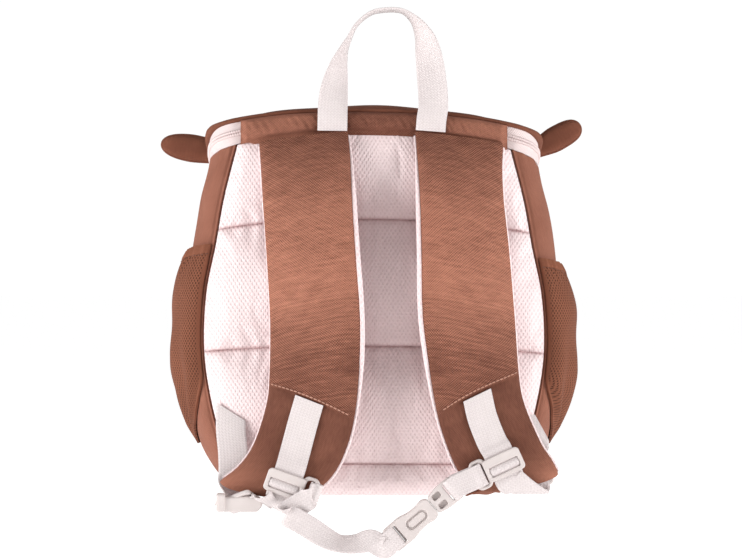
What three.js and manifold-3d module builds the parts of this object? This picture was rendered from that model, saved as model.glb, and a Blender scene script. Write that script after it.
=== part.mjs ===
// A small child's backpack, hung by its grab handle.
// Millimetres: x to the right as one looks at the shoulder straps, y from the straps to the front, z up.
// Heights are counted from the base; at the end the bag is lowered so that the handle's crown is the origin.

import * as THREE from "three";
import { mergeVertices } from "three/addons/utils/BufferGeometryUtils.js";
import ManifoldModule from "manifold-3d";

const kernel = await ManifoldModule();
kernel.setup();

// General sizes
const GAP = 0.3; // left between pieces that lie on each other
const WALL = 2; // woven fabric with its backing
const HANG_HEIGHT = 326.7; // underside of the handle's crown above the base
const HARNESS_SHIFT = 2; // handle and straps sit a little to the right of the bag's middle

// Bag
const RIM_HEIGHT = 247; // zip line at the middle of the back
const RIM_ARCH = 11; // fall of the zip line from the middle of the back to its corner
const RIM_ARCH_SPAN = 94;
const RIM_FRONT_DROP = 42; // fall of the zip line from back to front
const SIDE_SHARE = 0.4; // share of each half of the wall that runs from the back seam to the widest place
const SQUARENESS = 2.7; // how square the front corners are
const PANEL_THICK = 4.5;
const PANEL_PUFF = 6; // height of the quilted pads over their seams
const QUILT_SEAMS = [0, 0.09, 0.413, 0.76, 1];

// Lid, zip and band
const STRIP_HEIGHT = 12.6; // zip or band between wall and lid, at the middle of the back
const STRIP_GROWTH = 3; // how much taller it is at the corners
const CROWN_HEIGHT = 266.5;
const LID_MIDDLE = 45; // depth of the lid's middle
const ZIP_THICK = 1.6;
const COIL_HEIGHT = 4;
const COIL_THICK = 1.2;
const BAND_HALF = 90;
const BAND_THICK = 3;

// Straps and webbing
const PAD_COVER = 5.2;
const PAD_LINING = 3.6;
const WEB_WIDE = 20;
const WEB_THICK = 1.8;
const CHEST_WIDE = 15;
const CHEST_THICK = 1.6;

// Ears and pockets
const EAR_LONG = 46;
const EAR_HIGH = 19.5;
const EAR_THICK = 6;
const POCKET_THICK = 1.5;
const POCKET_LIFT = 0.7;
const POCKET_ROOM = 11.5;
const EARS = {
  left: { x: 103, y: 58, z: 236.5, tilt: 6, mirrored: true },
  right: { x: 102, y: 58, z: 232.5, tilt: 29, mirrored: false },
};

// Turns rows of numbers into rows with named columns, each with its place in the table
function table(columns, rows) {
  return rows.map((row, place) => {
    const named = { place };
    columns.forEach((column, k) => {
      named[column] = row[k];
    });
    return named;
  });
}

// Levels of the bag's wall from base to rim: half width at the back seam and at the widest,
// depth of the front and of the widest place, and how far the back seam lies forward
const LEVELS = table(["level", "back", "side", "front", "sideDepth", "lean"], [
  [0.0, 62, 90, 96, 50, 12],
  [0.03, 79, 102, 106, 50, 6.5],
  [0.08, 92, 112, 113, 48, 2.5],
  [0.16, 103, 121, 118, 46, 0.6],
  [0.28, 111, 126, 121, 45, 0],
  [0.42, 115.5, 127.5, 122, 45, 0],
  [0.58, 114, 127, 120, 45, 0],
  [0.72, 107.5, 126, 115, 44, 0],
  [0.85, 102, 121, 107, 41, 0],
  [1.0, 93, 113.5, 98, 38, 0],
]);

// Edges of the shoulder straps from the top seam to the lower end
const STRAP_COLUMNS = ["outerX", "outerY", "outerZ", "innerX", "innerY", "innerZ"];
const STRAPS = {
  left: table(STRAP_COLUMNS, [
    [-79.3, -7, 238.8, -19.5, -7.5, 245.9],
    [-78, -12, 224, -18, -17, 230.5],
    [-76.4, -16, 199.9, -16.6, -27, 206.5],
    [-73.8, -17.5, 164, -14.3, -33, 170],
    [-71.4, -17.5, 120.2, -11, -33, 124.8],
    [-71.8, -17.5, 83.6, -11.3, -31, 90.3],
    [-73.8, -19, 63.7, -14.6, -28, 57],
    [-81.7, -21, 38.4, -20.6, -26, 33.8],
    [-92.4, -22, 22.5, -30.6, -25, 15.2],
    [-104.3, -22, 12.5, -47.9, -23, 1.2],
  ]),
  right: table(STRAP_COLUMNS, [
    [85, -7, 238, 25.5, -7.5, 245.7],
    [84, -12, 222.5, 26.7, -17, 229],
    [84.7, -16, 199.9, 27.9, -27, 206.5],
    [88.4, -17.5, 164, 28.8, -33, 170],
    [92, -17.5, 120.2, 29.6, -33, 124.8],
    [94.7, -17.5, 83.6, 33.9, -31, 90.3],
    [98.3, -19, 63.7, 39.9, -28, 57],
    [109, -21, 38.4, 47.2, -26, 33.8],
    [117, -22, 25.8, 55.1, -25, 17.8],
    [122.3, -22, 15.2, 68.4, -23, 4.5],
  ]),
};

// Places along and across each strap that its webbing follows, with its height over the cover
const STRAP_WEB_COLUMNS = ["along", "share", "lift"];
const STRAP_WEBS = {
  left: table(STRAP_WEB_COLUMNS, [
    [5.85, 0.47, 0.5],
    [6.5, 0.48, 0.6],
    [7.2, 0.53, 1.0],
  ]),
  right: table(STRAP_WEB_COLUMNS, [
    [5.85, 0.52, 0.5],
    [6.3, 0.52, 0.6],
    [6.9, 0.52, 1.0],
  ]),
};

// Seats of the chest sliders: along and across the strap, height over the cover, turn in degrees
const SLIDERS = {
  left: { along: 8.28, share: 0.62, lift: 3.9, turn: 32 },
  right: { along: 7.78, share: 0.52, lift: 3.9, turn: -8 },
};
const SLIDER_LONG = 13;

// Ladder locks under the straps' ends: middle, direction of the bars, direction towards the strap's webbing
const LOCKS = {
  left: { at: [-94, -21, -2.5], bars: [0.3, 0.7, -0.62], towards: [0.92, -0.15, 0.35] },
  right: { at: [104, -9.8, 18], bars: [-0.98, 0, -0.15], towards: [0.05, -0.28, -0.96] },
};
const LOCK_SLOT = 4.6; // from the lock's middle to each slot
// Path over a lock's outer bar into its slot: off the lock's middle, and over its face
const DIP = [[12.5, 4], [9.2, 3.4], [6.6, 2.9], [4.3, 0.9], [3.9, -2.6]];

// Free part of each strap's webbing between the strap's end and its lock
const WEB_ENDS = {
  left: [
    [-75, -28.5, -1],
  ],
  right: [
    [95.5, -30.8, 12],
    [102, -28.6, 9],
    [105.5, -22.4, 6.3],
  ],
};

// Middle line of the webbing from each lower corner of the back to its lock
const ANCHORS = {
  left: [
    [-97.5, -7, 59],
    [-97.5, -8.8, 46],
    [-96.5, -11.5, 30],
    [-96.5, -11.2, 15],
  ],
  right: [
    [108, -6.8, 61],
    [107.5, -8.4, 51],
    [106, -11.2, 41],
  ],
};

// Slack chest strap from the left slider's ring to the buckle, folded once: middle line, width direction
const CHEST_COLUMNS = ["x", "y", "z", "acrossX", "acrossY", "acrossZ"];
const CHEST_SLACK = table(CHEST_COLUMNS, [
  [-44.5, -39, 3, 0, 0, 1],
  [-54, -38.3, -3, -0.45, 0, 0.89],
  [-60, -40.3, -7.5, -0.2, 0, 0.98],
  [-54, -42.3, -10.5, 0.3, 0, 0.95],
  [-44, -41.5, -16.5, 0.5, 0.1, 0.86],
  [-34, -39.5, -23, 0.4, 0.5, 0.77],
  [-24, -38, -27.3, 0.05, 0.75, 0.66],
  [-13.5, -37.5, -27.3, -0.2, 0.65, 0.73],
  [-4, -38, -25.3, -0.42, 0.3, 0.85],
]);

// Buckle: middle, and direction from the socket's bar to the prong's bar
const BUCKLE_AT = [30.4, -36, -7.7];
const BUCKLE_ALONG = [0.765, 0, 0.643];
const BUCKLE_HIGH = 19;

// Middle line of the grab handle and the turn of its width about the upright, in degrees
const HANDLE = table(["x", "y", "z", "turn"], [
  [-30, -9.4, 246.8, 0],
  [-29.9, -9.6, 254, 0],
  [-29.7, -8.6, 263, 4],
  [-27.7, -5.5, 282, 34],
  [-24, -3, 295, 58],
  [-19, -1, 308, 76],
  [-11.5, 0, 320, 86],
  [-2, 0, 327.8, 90],
  [5, 0, 328.9, 90],
  [12, 0, 328.4, 92],
  [21, 0, 324.5, 100],
  [29, -1, 316, 122],
  [34.5, -3, 303, 148],
  [36.8, -5.5, 285, 168],
  [37.4, -8.6, 264, 178],
  [36.6, -9.6, 254, 180],
  [36, -9.4, 246.5, 180],
]);

const FABRIC = { name: "brown_fabric", color: 0x9c6650, roughness: 0.9, metalness: 0 };
const NET = { name: "brown_mesh", color: 0x93624d, roughness: 0.92, metalness: 0 };
const MESH = { name: "pale_mesh", color: 0xeee2e1, roughness: 0.95, metalness: 0 };
const WEBBING = { name: "pale_webbing", color: 0xebe2e0, roughness: 0.85, metalness: 0 };
const ZIP = { name: "zip", color: 0xe6d9d6, roughness: 0.7, metalness: 0 };
const PLASTIC = { name: "pale_plastic", color: 0xd9cfce, roughness: 0.45, metalness: 0 };

// Smooth value of a column between rows of a table
function between(rows, position, column, at) {
  const last = rows.length - 1;
  let k = 0;
  while (k < last - 1 && at > rows[k + 1][position]) {
    k += 1;
  }
  const slope = (row) => {
    const before = rows[Math.max(0, row - 1)];
    const after = rows[Math.min(last, row + 1)];
    return (after[column] - before[column]) / (after[position] - before[position]);
  };
  const span = rows[k + 1][position] - rows[k][position];
  const t = (at - rows[k][position]) / span;
  const fall = (1 + 2 * t) * (1 - t) ** 2;
  const leave = t * (1 - t) ** 2 * span;
  const arrive = t * t * (t - 1) * span;
  return fall * rows[k][column] + (1 - fall) * rows[k + 1][column] + leave * slope(k) + arrive * slope(k + 1);
}

// A closed solid from points and triangles, turned to face outwards
function solid(points, triangles) {
  let volume = 0;
  for (const [a, b, c] of triangles) {
    volume += points[a].dot(new THREE.Vector3().crossVectors(points[b], points[c]));
  }
  const facing = volume < 0 ? triangles.map(([a, b, c]) => [a, c, b]) : triangles;
  const geometry = new THREE.BufferGeometry().setFromPoints(points);
  geometry.setIndex(facing.flat());
  geometry.computeVertexNormals();
  return geometry;
}

// A sheet with thickness, from an outer and an inner grid of points
function sheet(outer, inner) {
  const rows = outer.length;
  const columns = outer[0].length;
  const triangles = [];
  const quad = (a, b, c, d) => triangles.push([a, b, c], [a, c, d]);
  const out = (r, c) => r * columns + c;
  const inn = (r, c) => rows * columns + out(r, c);
  for (let r = 0; r < rows - 1; r += 1) {
    for (let c = 0; c < columns - 1; c += 1) {
      quad(out(r, c), out(r, c + 1), out(r + 1, c + 1), out(r + 1, c));
      quad(inn(r, c), inn(r + 1, c), inn(r + 1, c + 1), inn(r, c + 1));
    }
  }
  const top = rows - 1;
  const end = columns - 1;
  for (let c = 0; c < end; c += 1) {
    quad(out(0, c), inn(0, c), inn(0, c + 1), out(0, c + 1));
    quad(out(top, c), out(top, c + 1), inn(top, c + 1), inn(top, c));
  }
  for (let r = 0; r < top; r += 1) {
    quad(out(r, 0), out(r + 1, 0), inn(r + 1, 0), inn(r, 0));
    quad(out(r, end), inn(r, end), inn(r + 1, end), out(r + 1, end));
  }
  return solid([...outer.flat(), ...inner.flat()], triangles);
}

// A solid through rings of points, with flat ends, or joined end to end
function loft(rings, joined = false) {
  const around = rings[0].length;
  const count = rings.length;
  const triangles = [];
  const at = (r, k) => (r % count) * around + (k % around);
  for (let r = 0; r < (joined ? count : count - 1); r += 1) {
    for (let k = 0; k < around; k += 1) {
      triangles.push([at(r, k), at(r, k + 1), at(r + 1, k + 1)], [at(r, k), at(r + 1, k + 1), at(r + 1, k)]);
    }
  }
  for (let k = 1; k < around - 1 && !joined; k += 1) {
    triangles.push([at(0, 0), at(0, k + 1), at(0, k)]);
    triangles.push([at(count - 1, 0), at(count - 1, k), at(count - 1, k + 1)]);
  }
  return solid(rings.flat(), triangles);
}

// A grid moved along its own normals; a positive distance goes to the side of columns crossed with rows
function moved(grid, distance) {
  const rows = grid.length - 1;
  const columns = grid[0].length - 1;
  return grid.map((line, r) => line.map((point, c) => {
    const across = grid[r][Math.min(columns, c + 1)].clone().sub(grid[r][Math.max(0, c - 1)]);
    const up = grid[Math.min(rows, r + 1)][c].clone().sub(grid[Math.max(0, r - 1)][c]);
    const normal = across.cross(up).normalize();
    return point.clone().addScaledVector(normal, distance(r / rows, c / columns));
  }));
}

// Direction of a webbing's width at a share of its rows
function widthAt(rows, share, joined) {
  const place = share * (joined ? rows.length : rows.length - 1);
  const row = Math.min(Math.floor(place), rows.length - 1);
  const next = joined ? (row + 1) % rows.length : Math.min(row + 1, rows.length - 1);
  return rows[row].across.clone().lerp(rows[next].across, place - row);
}

// Flat webbing along rows of a middle point and the direction of its width
function ribbon(rows, width, thickness, pieces, joined = false) {
  const spine = new THREE.CatmullRomCurve3(rows.map((row) => row.at), joined);
  const rings = [];
  for (let k = 0; k <= (joined ? pieces - 1 : pieces); k += 1) {
    const middle = spine.getPoint(k / pieces);
    const along = spine.getTangent(k / pieces);
    const across = widthAt(rows, k / pieces, joined);
    across.addScaledVector(along, -across.dot(along)).setLength(width / 2);
    const up = new THREE.Vector3().crossVectors(along, across).setLength(thickness / 2);
    rings.push([[1, 1], [-1, 1], [-1, -1], [1, -1]].map(([side, face]) => (
      middle.clone().addScaledVector(across, side).addScaledVector(up, face)
    )));
  }
  return loft(rings, joined);
}

// A plate with rounded corners and rounded holes, its middle at z 0
function plate(width, height, thickness, corner, holes = []) {
  const outline = roundedOutline(new THREE.Shape(), 0, 0, width, height, corner);
  for (const { x, y, width: wide, height: high, corner: round } of holes) {
    outline.holes.push(roundedOutline(new THREE.Path(), x, y, wide, high, round));
  }
  const depth = { depth: thickness, bevelEnabled: false, curveSegments: 2 };
  return new THREE.ExtrudeGeometry(outline, depth).translate(0, 0, -thickness / 2);
}

function roundedOutline(path, x, y, width, height, corner) {
  const right = x + width / 2 - corner;
  const left = x - width / 2 + corner;
  const top = y + height / 2 - corner;
  const bottom = y - height / 2 + corner;
  path.absarc(right, top, corner, 0, Math.PI / 2);
  path.absarc(left, top, corner, Math.PI / 2, Math.PI);
  path.absarc(left, bottom, corner, Math.PI, 1.5 * Math.PI);
  path.absarc(right, bottom, corner, 1.5 * Math.PI, 2 * Math.PI);
  path.closePath();
  return path;
}

function toKernel(geometry) {
  const bare = new THREE.BufferGeometry().setAttribute("position", geometry.getAttribute("position"));
  bare.setIndex(geometry.getIndex());
  const welded = mergeVertices(bare, 1e-4);
  return new kernel.Manifold(new kernel.Mesh({
    numProp: 3,
    vertProperties: new Float32Array(welded.getAttribute("position").array),
    triVerts: new Uint32Array(welded.getIndex().array),
  }));
}

function fromKernel(shape) {
  const mesh = shape.getMesh();
  const geometry = new THREE.BufferGeometry();
  geometry.setAttribute("position", new THREE.BufferAttribute(new Float32Array(mesh.vertProperties), 3));
  geometry.setIndex(new THREE.BufferAttribute(new Uint32Array(mesh.triVerts), 1));
  geometry.computeVertexNormals();
  return geometry;
}

function joinedShapes(geometries) {
  return fromKernel(geometries.map(toKernel).reduce((all, next) => all.add(next)));
}

function cut(geometry, tool) {
  return fromKernel(toKernel(geometry).subtract(toKernel(tool)));
}

function box(width, depth, height, x, y, z) {
  return new THREE.BoxGeometry(width, depth, height).translate(x, y, z);
}

// Height of the zip line over a place on the rim
function rimHeight(x, y) {
  const arch = RIM_ARCH * (Math.abs(x) / RIM_ARCH_SPAN) ** 2.4;
  const drop = RIM_FRONT_DROP * (Math.max(0, y) / LEVELS.at(-1).front) ** 2;
  return RIM_HEIGHT - arch - drop;
}

// Height of the zip or band over the same place
function stripHeight(x) {
  return STRIP_HEIGHT + STRIP_GROWTH * (x / RIM_ARCH_SPAN) ** 2;
}

function levelSize(column, level) {
  return between(LEVELS, "level", column, level);
}

// Place in plan on the wall: turn -1 is the left back seam, 0 the middle of the front, 1 the right back seam
function wallPlan(turn, level) {
  const share = 1 - Math.abs(turn);
  const back = levelSize("back", level);
  const side = levelSize("side", level);
  const front = levelSize("front", level);
  const sideDepth = levelSize("sideDepth", level);
  const lean = levelSize("lean", level);
  const hand = turn < 0 ? -1 : 1;
  if (share < SIDE_SHARE) {
    const angle = (share / SIDE_SHARE) * (Math.PI / 2);
    const x = back + (side - back) * Math.sin(angle);
    return new THREE.Vector2(hand * x, lean + (sideDepth - lean) * (1 - Math.cos(angle)));
  }
  const angle = ((share - SIDE_SHARE) / (1 - SIDE_SHARE)) * (Math.PI / 2);
  const x = side * Math.max(0, Math.cos(angle)) ** (2 / SQUARENESS);
  return new THREE.Vector2(hand * x, sideDepth + (front - sideDepth) * Math.sin(angle) ** (2 / SQUARENESS));
}

function wallPoint(turn, level) {
  const plan = wallPlan(turn, level);
  const rim = wallPlan(turn, 1);
  return new THREE.Vector3(plan.x, plan.y, level * rimHeight(rim.x, rim.y));
}

function evenly(from, to, pieces) {
  return Array.from({ length: pieces + 1 }, (_, k) => from + ((to - from) * k) / pieces);
}

// Levels of the wall's rows, closer together at the rounded foot
function wallLevels() {
  return evenly(0, 1, 15).map((share) => share ** 1.6);
}

function bodyWall() {
  const grid = wallLevels().map((level) => evenly(-1, 1, 32).map((turn) => wallPoint(turn, level)));
  return sheet(grid, moved(grid, () => WALL));
}

function basePanel() {
  const outline = evenly(-1, 1, 40).map((turn) => {
    const plan = wallPlan(turn, 0);
    return new THREE.Vector2(plan.x * 0.973, Math.max(17, 52 + (plan.y - 52) * 0.958));
  });
  return new THREE.ExtrudeGeometry(new THREE.Shape(outline), { depth: WALL, bevelEnabled: false });
}

// Swell of the quilted pads over the back: nothing at a seam or an edge, one in the middle of a pad
function padSwell(share, level) {
  const k = QUILT_SEAMS.findIndex((seam) => seam > level - 1e-9);
  const low = QUILT_SEAMS[Math.max(0, k - 1)];
  const high = QUILT_SEAMS[Math.max(1, k)];
  const across = Math.max(0, 1 - Math.abs(share) ** 6);
  const t = THREE.MathUtils.clamp((level - low) / (high - low), 0, 1);
  return across * Math.sin(Math.PI * t) ** 0.6;
}

function panelPoint(share, level, depth, inset) {
  const foot = 3 * (1 - THREE.MathUtils.smoothstep(level, 0, 0.07));
  const x = share * (levelSize("back", level) - inset - foot);
  const rim = rimHeight(share * LEVELS.at(-1).back, 0);
  return new THREE.Vector3(x, levelSize("lean", level) + depth, level * (rim - 0.2));
}

function backPanel() {
  const levels = QUILT_SEAMS.slice(1).flatMap((seam, k) => {
    const pieces = k === 0 ? 4 : 7;
    return evenly(QUILT_SEAMS[k], seam, pieces).slice(k === 0 ? 0 : 1);
  });
  const shares = evenly(-1, 1, 12).map((share) => Math.sign(share) * Math.abs(share) ** 0.8);
  const front = (share, level) => panelPoint(share, level, -1.5 - PANEL_PUFF * padSwell(share, level), 0.9);
  const outer = levels.map((level) => shares.map((share) => front(share, level)));
  const inner = levels.map((level) => shares.map((share) => panelPoint(share, level, PANEL_THICK - 1.5, 3)));
  return sheet(outer, inner);
}

// The lid's edge in plan, once round: along the back, then by the right side and the front to the left
function lidEdge() {
  const back = levelSize("back", 1);
  const along = evenly(-back, back, 12).slice(0, -1).map((x) => new THREE.Vector2(x, 0));
  const round = evenly(1, -1, 34).slice(0, -1).map((turn) => wallPlan(turn, 1));
  return [...along, ...round];
}

function lidPoint(edge, share, grow) {
  const x = edge.x * share;
  const y = LID_MIDDLE + (edge.y - LID_MIDDLE) * share;
  const low = rimHeight(edge.x, edge.y) + stripHeight(edge.x) + 3 * GAP;
  const crown = CROWN_HEIGHT - 0.00106 * x * x - 0.0028 * Math.max(0, y) ** 2;
  const z = low + (crown - low) * (1 - share ** 5);
  const outwards = new THREE.Vector3(edge.x, edge.y - LID_MIDDLE, 0).setLength(share ** 4);
  outwards.z = 1.05 - share ** 4;
  return new THREE.Vector3(x, y, z).addScaledVector(outwards.normalize(), grow);
}

const LID_SHARES = [1, 0.98, 0.93, 0.84, 0.68, 0.35];

function topLid() {
  const edge = lidEdge();
  const rings = (grow) => LID_SHARES.map((share) => edge.map((place) => lidPoint(place, share, grow)));
  const outer = rings(0);
  const inner = rings(-WALL);
  const around = edge.length;
  const points = [...outer.flat(), ...inner.flat(), lidPoint(edge[0], 0, 0), lidPoint(edge[0], 0, -WALL)];
  const inside = LID_SHARES.length * around;
  const triangles = [];
  const quad = (a, b, c, d) => triangles.push([a, b, c], [a, c, d]);
  for (let k = 0; k < around; k += 1) {
    const next = (k + 1) % around;
    for (let r = 0; r < LID_SHARES.length - 1; r += 1) {
      const low = r * around;
      const high = low + around;
      quad(low + k, low + next, high + next, high + k);
      quad(inside + low + k, inside + high + k, inside + high + next, inside + low + next);
    }
    const last = (LID_SHARES.length - 1) * around;
    triangles.push([last + k, last + next, 2 * inside]);
    triangles.push([inside + last + k, 2 * inside + 1, inside + last + next]);
    quad(k, inside + k, inside + next, next);
  }
  return solid(points, triangles);
}

// The room that the lid takes, used to fit the ears against it
function lidRoom(grow) {
  const edge = lidEdge();
  const foot = edge.map((place) => {
    const point = lidPoint(place, 1, grow);
    return point.setZ(point.z - 30);
  });
  const rings = [foot, ...LID_SHARES.map((share) => edge.map((place) => lidPoint(place, share, grow)))];
  return loft(rings);
}

// A strip that stands on the rim from one turn to another; out and in are its faces off the wall's line
function rimStrip(fromTurn, toTurn, pieces, low, high, out, inn) {
  const rings = evenly(fromTurn, toTurn, pieces).map((turn) => {
    const plan = wallPlan(turn, 1);
    const ahead = wallPlan(Math.min(1, turn + 0.004), 1);
    const behind = wallPlan(Math.max(-1, turn - 0.004), 1);
    const outwards = new THREE.Vector2(behind.y - ahead.y, ahead.x - behind.x).normalize();
    const foot = rimHeight(plan.x, plan.y);
    const tall = stripHeight(plan.x);
    const corner = (off, up) => {
      const at = plan.clone().addScaledVector(outwards, off);
      return new THREE.Vector3(at.x, at.y, foot + up(tall));
    };
    return [corner(out, low), corner(out, high), corner(inn, high), corner(inn, low)];
  });
  return loft(rings);
}

function topBand() {
  const face = table(["up", "out"], [[0, 3.6], [0.17, 6.6], [0.5, 7.6], [0.83, 6.6], [1, 3.6]]);
  const grid = (inwards) => face.map((row) => evenly(-BAND_HALF, BAND_HALF, 16).map((x) => (
    new THREE.Vector3(x, inwards - row.out, rimHeight(x, 0) + GAP + row.up * (stripHeight(x) - GAP))
  )));
  return sheet(grid(0), grid(BAND_THICK));
}

function zipSlider() {
  const plan = wallPlan(0, 1);
  const z = rimHeight(plan.x, plan.y) + STRIP_HEIGHT / 2;
  const face = plan.y + COIL_THICK + 2 * GAP;
  const body = plate(8, 9, 3, 2).rotateX(Math.PI / 2).translate(0, face + 1.5, z);
  const tab = plate(7, 20, 1.6, 3, [{ x: 0, y: -5, width: 3, height: 5, corner: 1.4 }]);
  tab.rotateX(Math.PI / 2).translate(0, face + 3.4, z - 11);
  return joinedShapes([body, tab]);
}

function grabHandle() {
  const rows = HANDLE.map((row) => {
    const turn = THREE.MathUtils.degToRad(row.turn);
    return { at: vector([row.x, row.y, row.z]), across: vector([Math.cos(turn), Math.sin(turn), 0]) };
  });
  return ribbon(rows, WEB_WIDE, WEB_THICK, 40);
}

// Edges, face direction and fullness of a strap at a place along it
function strapSection(rows, along) {
  const edge = (side, at) => {
    const value = (axis) => between(rows, "place", side + axis, at);
    return new THREE.Vector3(value("X"), value("Y"), value("Z"));
  };
  const middle = (at) => edge("outer", at).add(edge("inner", at));
  const last = rows.length - 1;
  const down = middle(Math.min(last, along + 0.05)).sub(middle(Math.max(0, along - 0.05))).normalize();
  const outer = edge("outer", along);
  const across = edge("inner", along).sub(outer);
  const face = new THREE.Vector3().crossVectors(across, down).normalize();
  if (face.y > 0) {
    face.negate();
  }
  const taper = Math.min(1, 0.45 + along * 0.6);
  const close = Math.max(0, (along - (last - 0.5)) / 0.5);
  return { outer, across, down, face, full: taper * (1 - 0.4 * close ** 2), narrow: 0.12 * close ** 2 };
}

const PAD_SHARES = [0, 0.05, 0.2, 0.5, 0.8, 0.95, 1];
const PAD_HEIGHTS = [0, 0.62, 0.9, 1, 0.9, 0.62, 0];

function strapHalf(rows, height, seat) {
  const rings = evenly(0, rows.length - 1, 21).map((along) => {
    const { outer, across, face, full, narrow } = strapSection(rows, along);
    const at = (share, rise) => {
      const inset = narrow + share * (1 - 2 * narrow);
      return outer.clone().addScaledVector(across, inset).addScaledVector(face, rise);
    };
    const low = seat * Math.sign(height);
    const crown = PAD_SHARES.map((share, k) => at(share, low + (height * full - low) * PAD_HEIGHTS[k]));
    return [...crown, at(0.5, 0.6 * low)];
  });
  return loft(rings);
}

// Point on the cover of a strap, lifted by the thickness of what lies on it
function onStrap(rows, along, share, lift) {
  const { outer, across, down, face, full } = strapSection(rows, along);
  const at = outer.clone().addScaledVector(across, share).addScaledVector(face, PAD_COVER * full + lift);
  return { at, across: across.clone().normalize(), down, face };
}

function place(geometry, frame) {
  return geometry.applyMatrix4(frame.turned);
}

function vector(numbers) {
  return new THREE.Vector3(...numbers);
}

// A local frame: a middle with directions side, rise and face
function frameOf(at, across, up) {
  const side = across.clone().normalize();
  const face = new THREE.Vector3().crossVectors(side, up).normalize();
  const rise = new THREE.Vector3().crossVectors(face, side);
  const turned = new THREE.Matrix4().makeBasis(side, rise, face).setPosition(at);
  const to = (x, y, z) => new THREE.Vector3(x, y, z).applyMatrix4(turned);
  return { side, rise, face, turned, to };
}

function lockFrame(hand) {
  const lock = LOCKS[hand];
  return frameOf(vector(lock.at), vector(lock.bars), vector(lock.towards));
}

// Frame of a chest slider on its strap
function sliderFrame(hand) {
  const seat = SLIDERS[hand];
  const { at, across, down, face } = onStrap(STRAPS[hand], seat.along, seat.share, seat.lift);
  const turn = THREE.MathUtils.degToRad(seat.turn);
  const rise = down.clone().negate().applyAxisAngle(face, turn);
  const side = across.multiplyScalar(hand === "left" ? 1 : -1);
  return frameOf(at, side.addScaledVector(rise, -side.dot(rise)), rise);
}

// The strap's webbing runs down the strap, through its slider, and dips into the lock's near slot
function strapWebRows(hand) {
  const lock = lockFrame(hand);
  const slider = sliderFrame(hand);
  const across = slider.side.clone().multiplyScalar(hand === "left" ? 1 : -1);
  const onPad = STRAP_WEBS[hand].map((row) => {
    const seat = onStrap(STRAPS[hand], row.along, row.share, row.lift + WEB_THICK / 2);
    return { at: seat.at, across: seat.across.addScaledVector(seat.down, -seat.across.dot(seat.down)) };
  });
  const inSlider = [10.5, 4, -4, -12].map((y) => ({ at: slider.to(0, y, 0), across }));
  const free = WEB_ENDS[hand].map((at) => ({ at: vector(at), across: lock.side }));
  const dip = DIP.map(([y, z]) => ({ at: lock.to(0, y, z), across: lock.side }));
  return [...onPad, ...inSlider, ...free, ...dip];
}

// The anchor webbing runs down from the back's corner and takes the lock's far bar
function anchorRows(hand) {
  const lock = lockFrame(hand);
  const flat = new THREE.Vector3(hand === "left" ? 1 : -1, 0, 0);
  const down = ANCHORS[hand].map((at) => ({ at: vector(at), across: flat }));
  const round = hand === "left"
    ? [[-8, -3.3], [-11.2, -3], [-13, 0], [-11.2, 3], [-8, 3.1], [-3.5, 3]]
    : DIP.map(([y, z]) => [-y, z]);
  return [...down, ...round.map(([y, z]) => ({ at: lock.to(0, y, z), across: lock.side }))];
}

function strapLock() {
  const slot = { x: 0, width: WEB_WIDE + 1.6, height: 4, corner: 1 };
  return plate(27, 21, 3, 3, [{ ...slot, y: LOCK_SLOT }, { ...slot, y: -LOCK_SLOT }]);
}

// A flat tube round the webbing with a window in its face and a ring at one side
function chestSlider(ringSide) {
  const body = plate(28, SLIDER_LONG, 7, 2.5).translate(0, 0, 0.3);
  const hole = { x: ringSide * 0.6, y: 0, width: 5.4, height: CHEST_WIDE + 1.4, corner: 1.5 };
  const ring = plate(11, 20.4, 3, 3, [hole]).translate(ringSide * 17.5, 0, 0.5);
  const passage = box(WEB_WIDE + 3, 30, 3.4, 0, 0, 0);
  const window = box(17, 6.5, 4, 0, 0, 3);
  return cut(cut(joinedShapes([body, ring]), passage), window);
}

function buckleFrame() {
  const along = vector(BUCKLE_ALONG);
  return frameOf(vector(BUCKLE_AT), along, new THREE.Vector3(-along.z, 0, along.x));
}

const BUCKLE_SLOT = { y: 0, width: 4, height: CHEST_WIDE + 1, corner: 1.2 };

function buckleSocket() {
  const body = plate(26, BUCKLE_HIGH, 7.4, 4).translate(-5, 0, 0);
  const end = plate(15, BUCKLE_HIGH, 4, 3, [{ ...BUCKLE_SLOT, x: -1.5 }]).translate(-20.8, 0, 0);
  const button = plate(13, 8.5, 2, 4).translate(-3, 0, 3.9);
  const throat = box(18, 13.4, 3.4, 4, 0, 0);
  return cut(cut(joinedShapes([body, end]), button), throat);
}

function buckleProng() {
  const end = plate(20, BUCKLE_HIGH, 5, 4, [{ ...BUCKLE_SLOT, x: 5.3 }]).translate(18.4, 0, 0);
  return joinedShapes([end, box(16, 12.4, 2.6, 3.5, 0, 0)]);
}

// Once round the left ring's bar, slack to the buckle and once round its bar
function chestLeftRows() {
  const ring = sliderFrame("left");
  const buckle = buckleFrame();
  const free = (row) => ({
    at: vector([row.x, row.y, row.z]),
    across: vector([row.acrossX, row.acrossY, row.acrossZ]),
  });
  const underRing = [[17.9, 1.8], [18.2, -0.7], [20.4, -2.6], [23.2, -2.4]];
  const overRing = [[24.9, 0.5], [23.2, 3.4], [20.4, 3.9]];
  const toBuckle = [[-34, 3.8], [-29, 3.7], [-25, 3.6], [-22.4, 3]];
  const underBuckle = [[-21.6, 0], [-22.4, -3], [-25, -3.6], [-29, -3.6], [-34, -3.2]];
  return [
    ...[...underRing, ...overRing].map(([x, z]) => ({ at: ring.to(x, 0, z), across: ring.rise })),
    ...CHEST_SLACK.map(free),
    ...[...toBuckle, ...underBuckle].map(([x, z]) => ({ at: buckle.to(x, 0, z), across: buckle.rise })),
  ];
}

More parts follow.
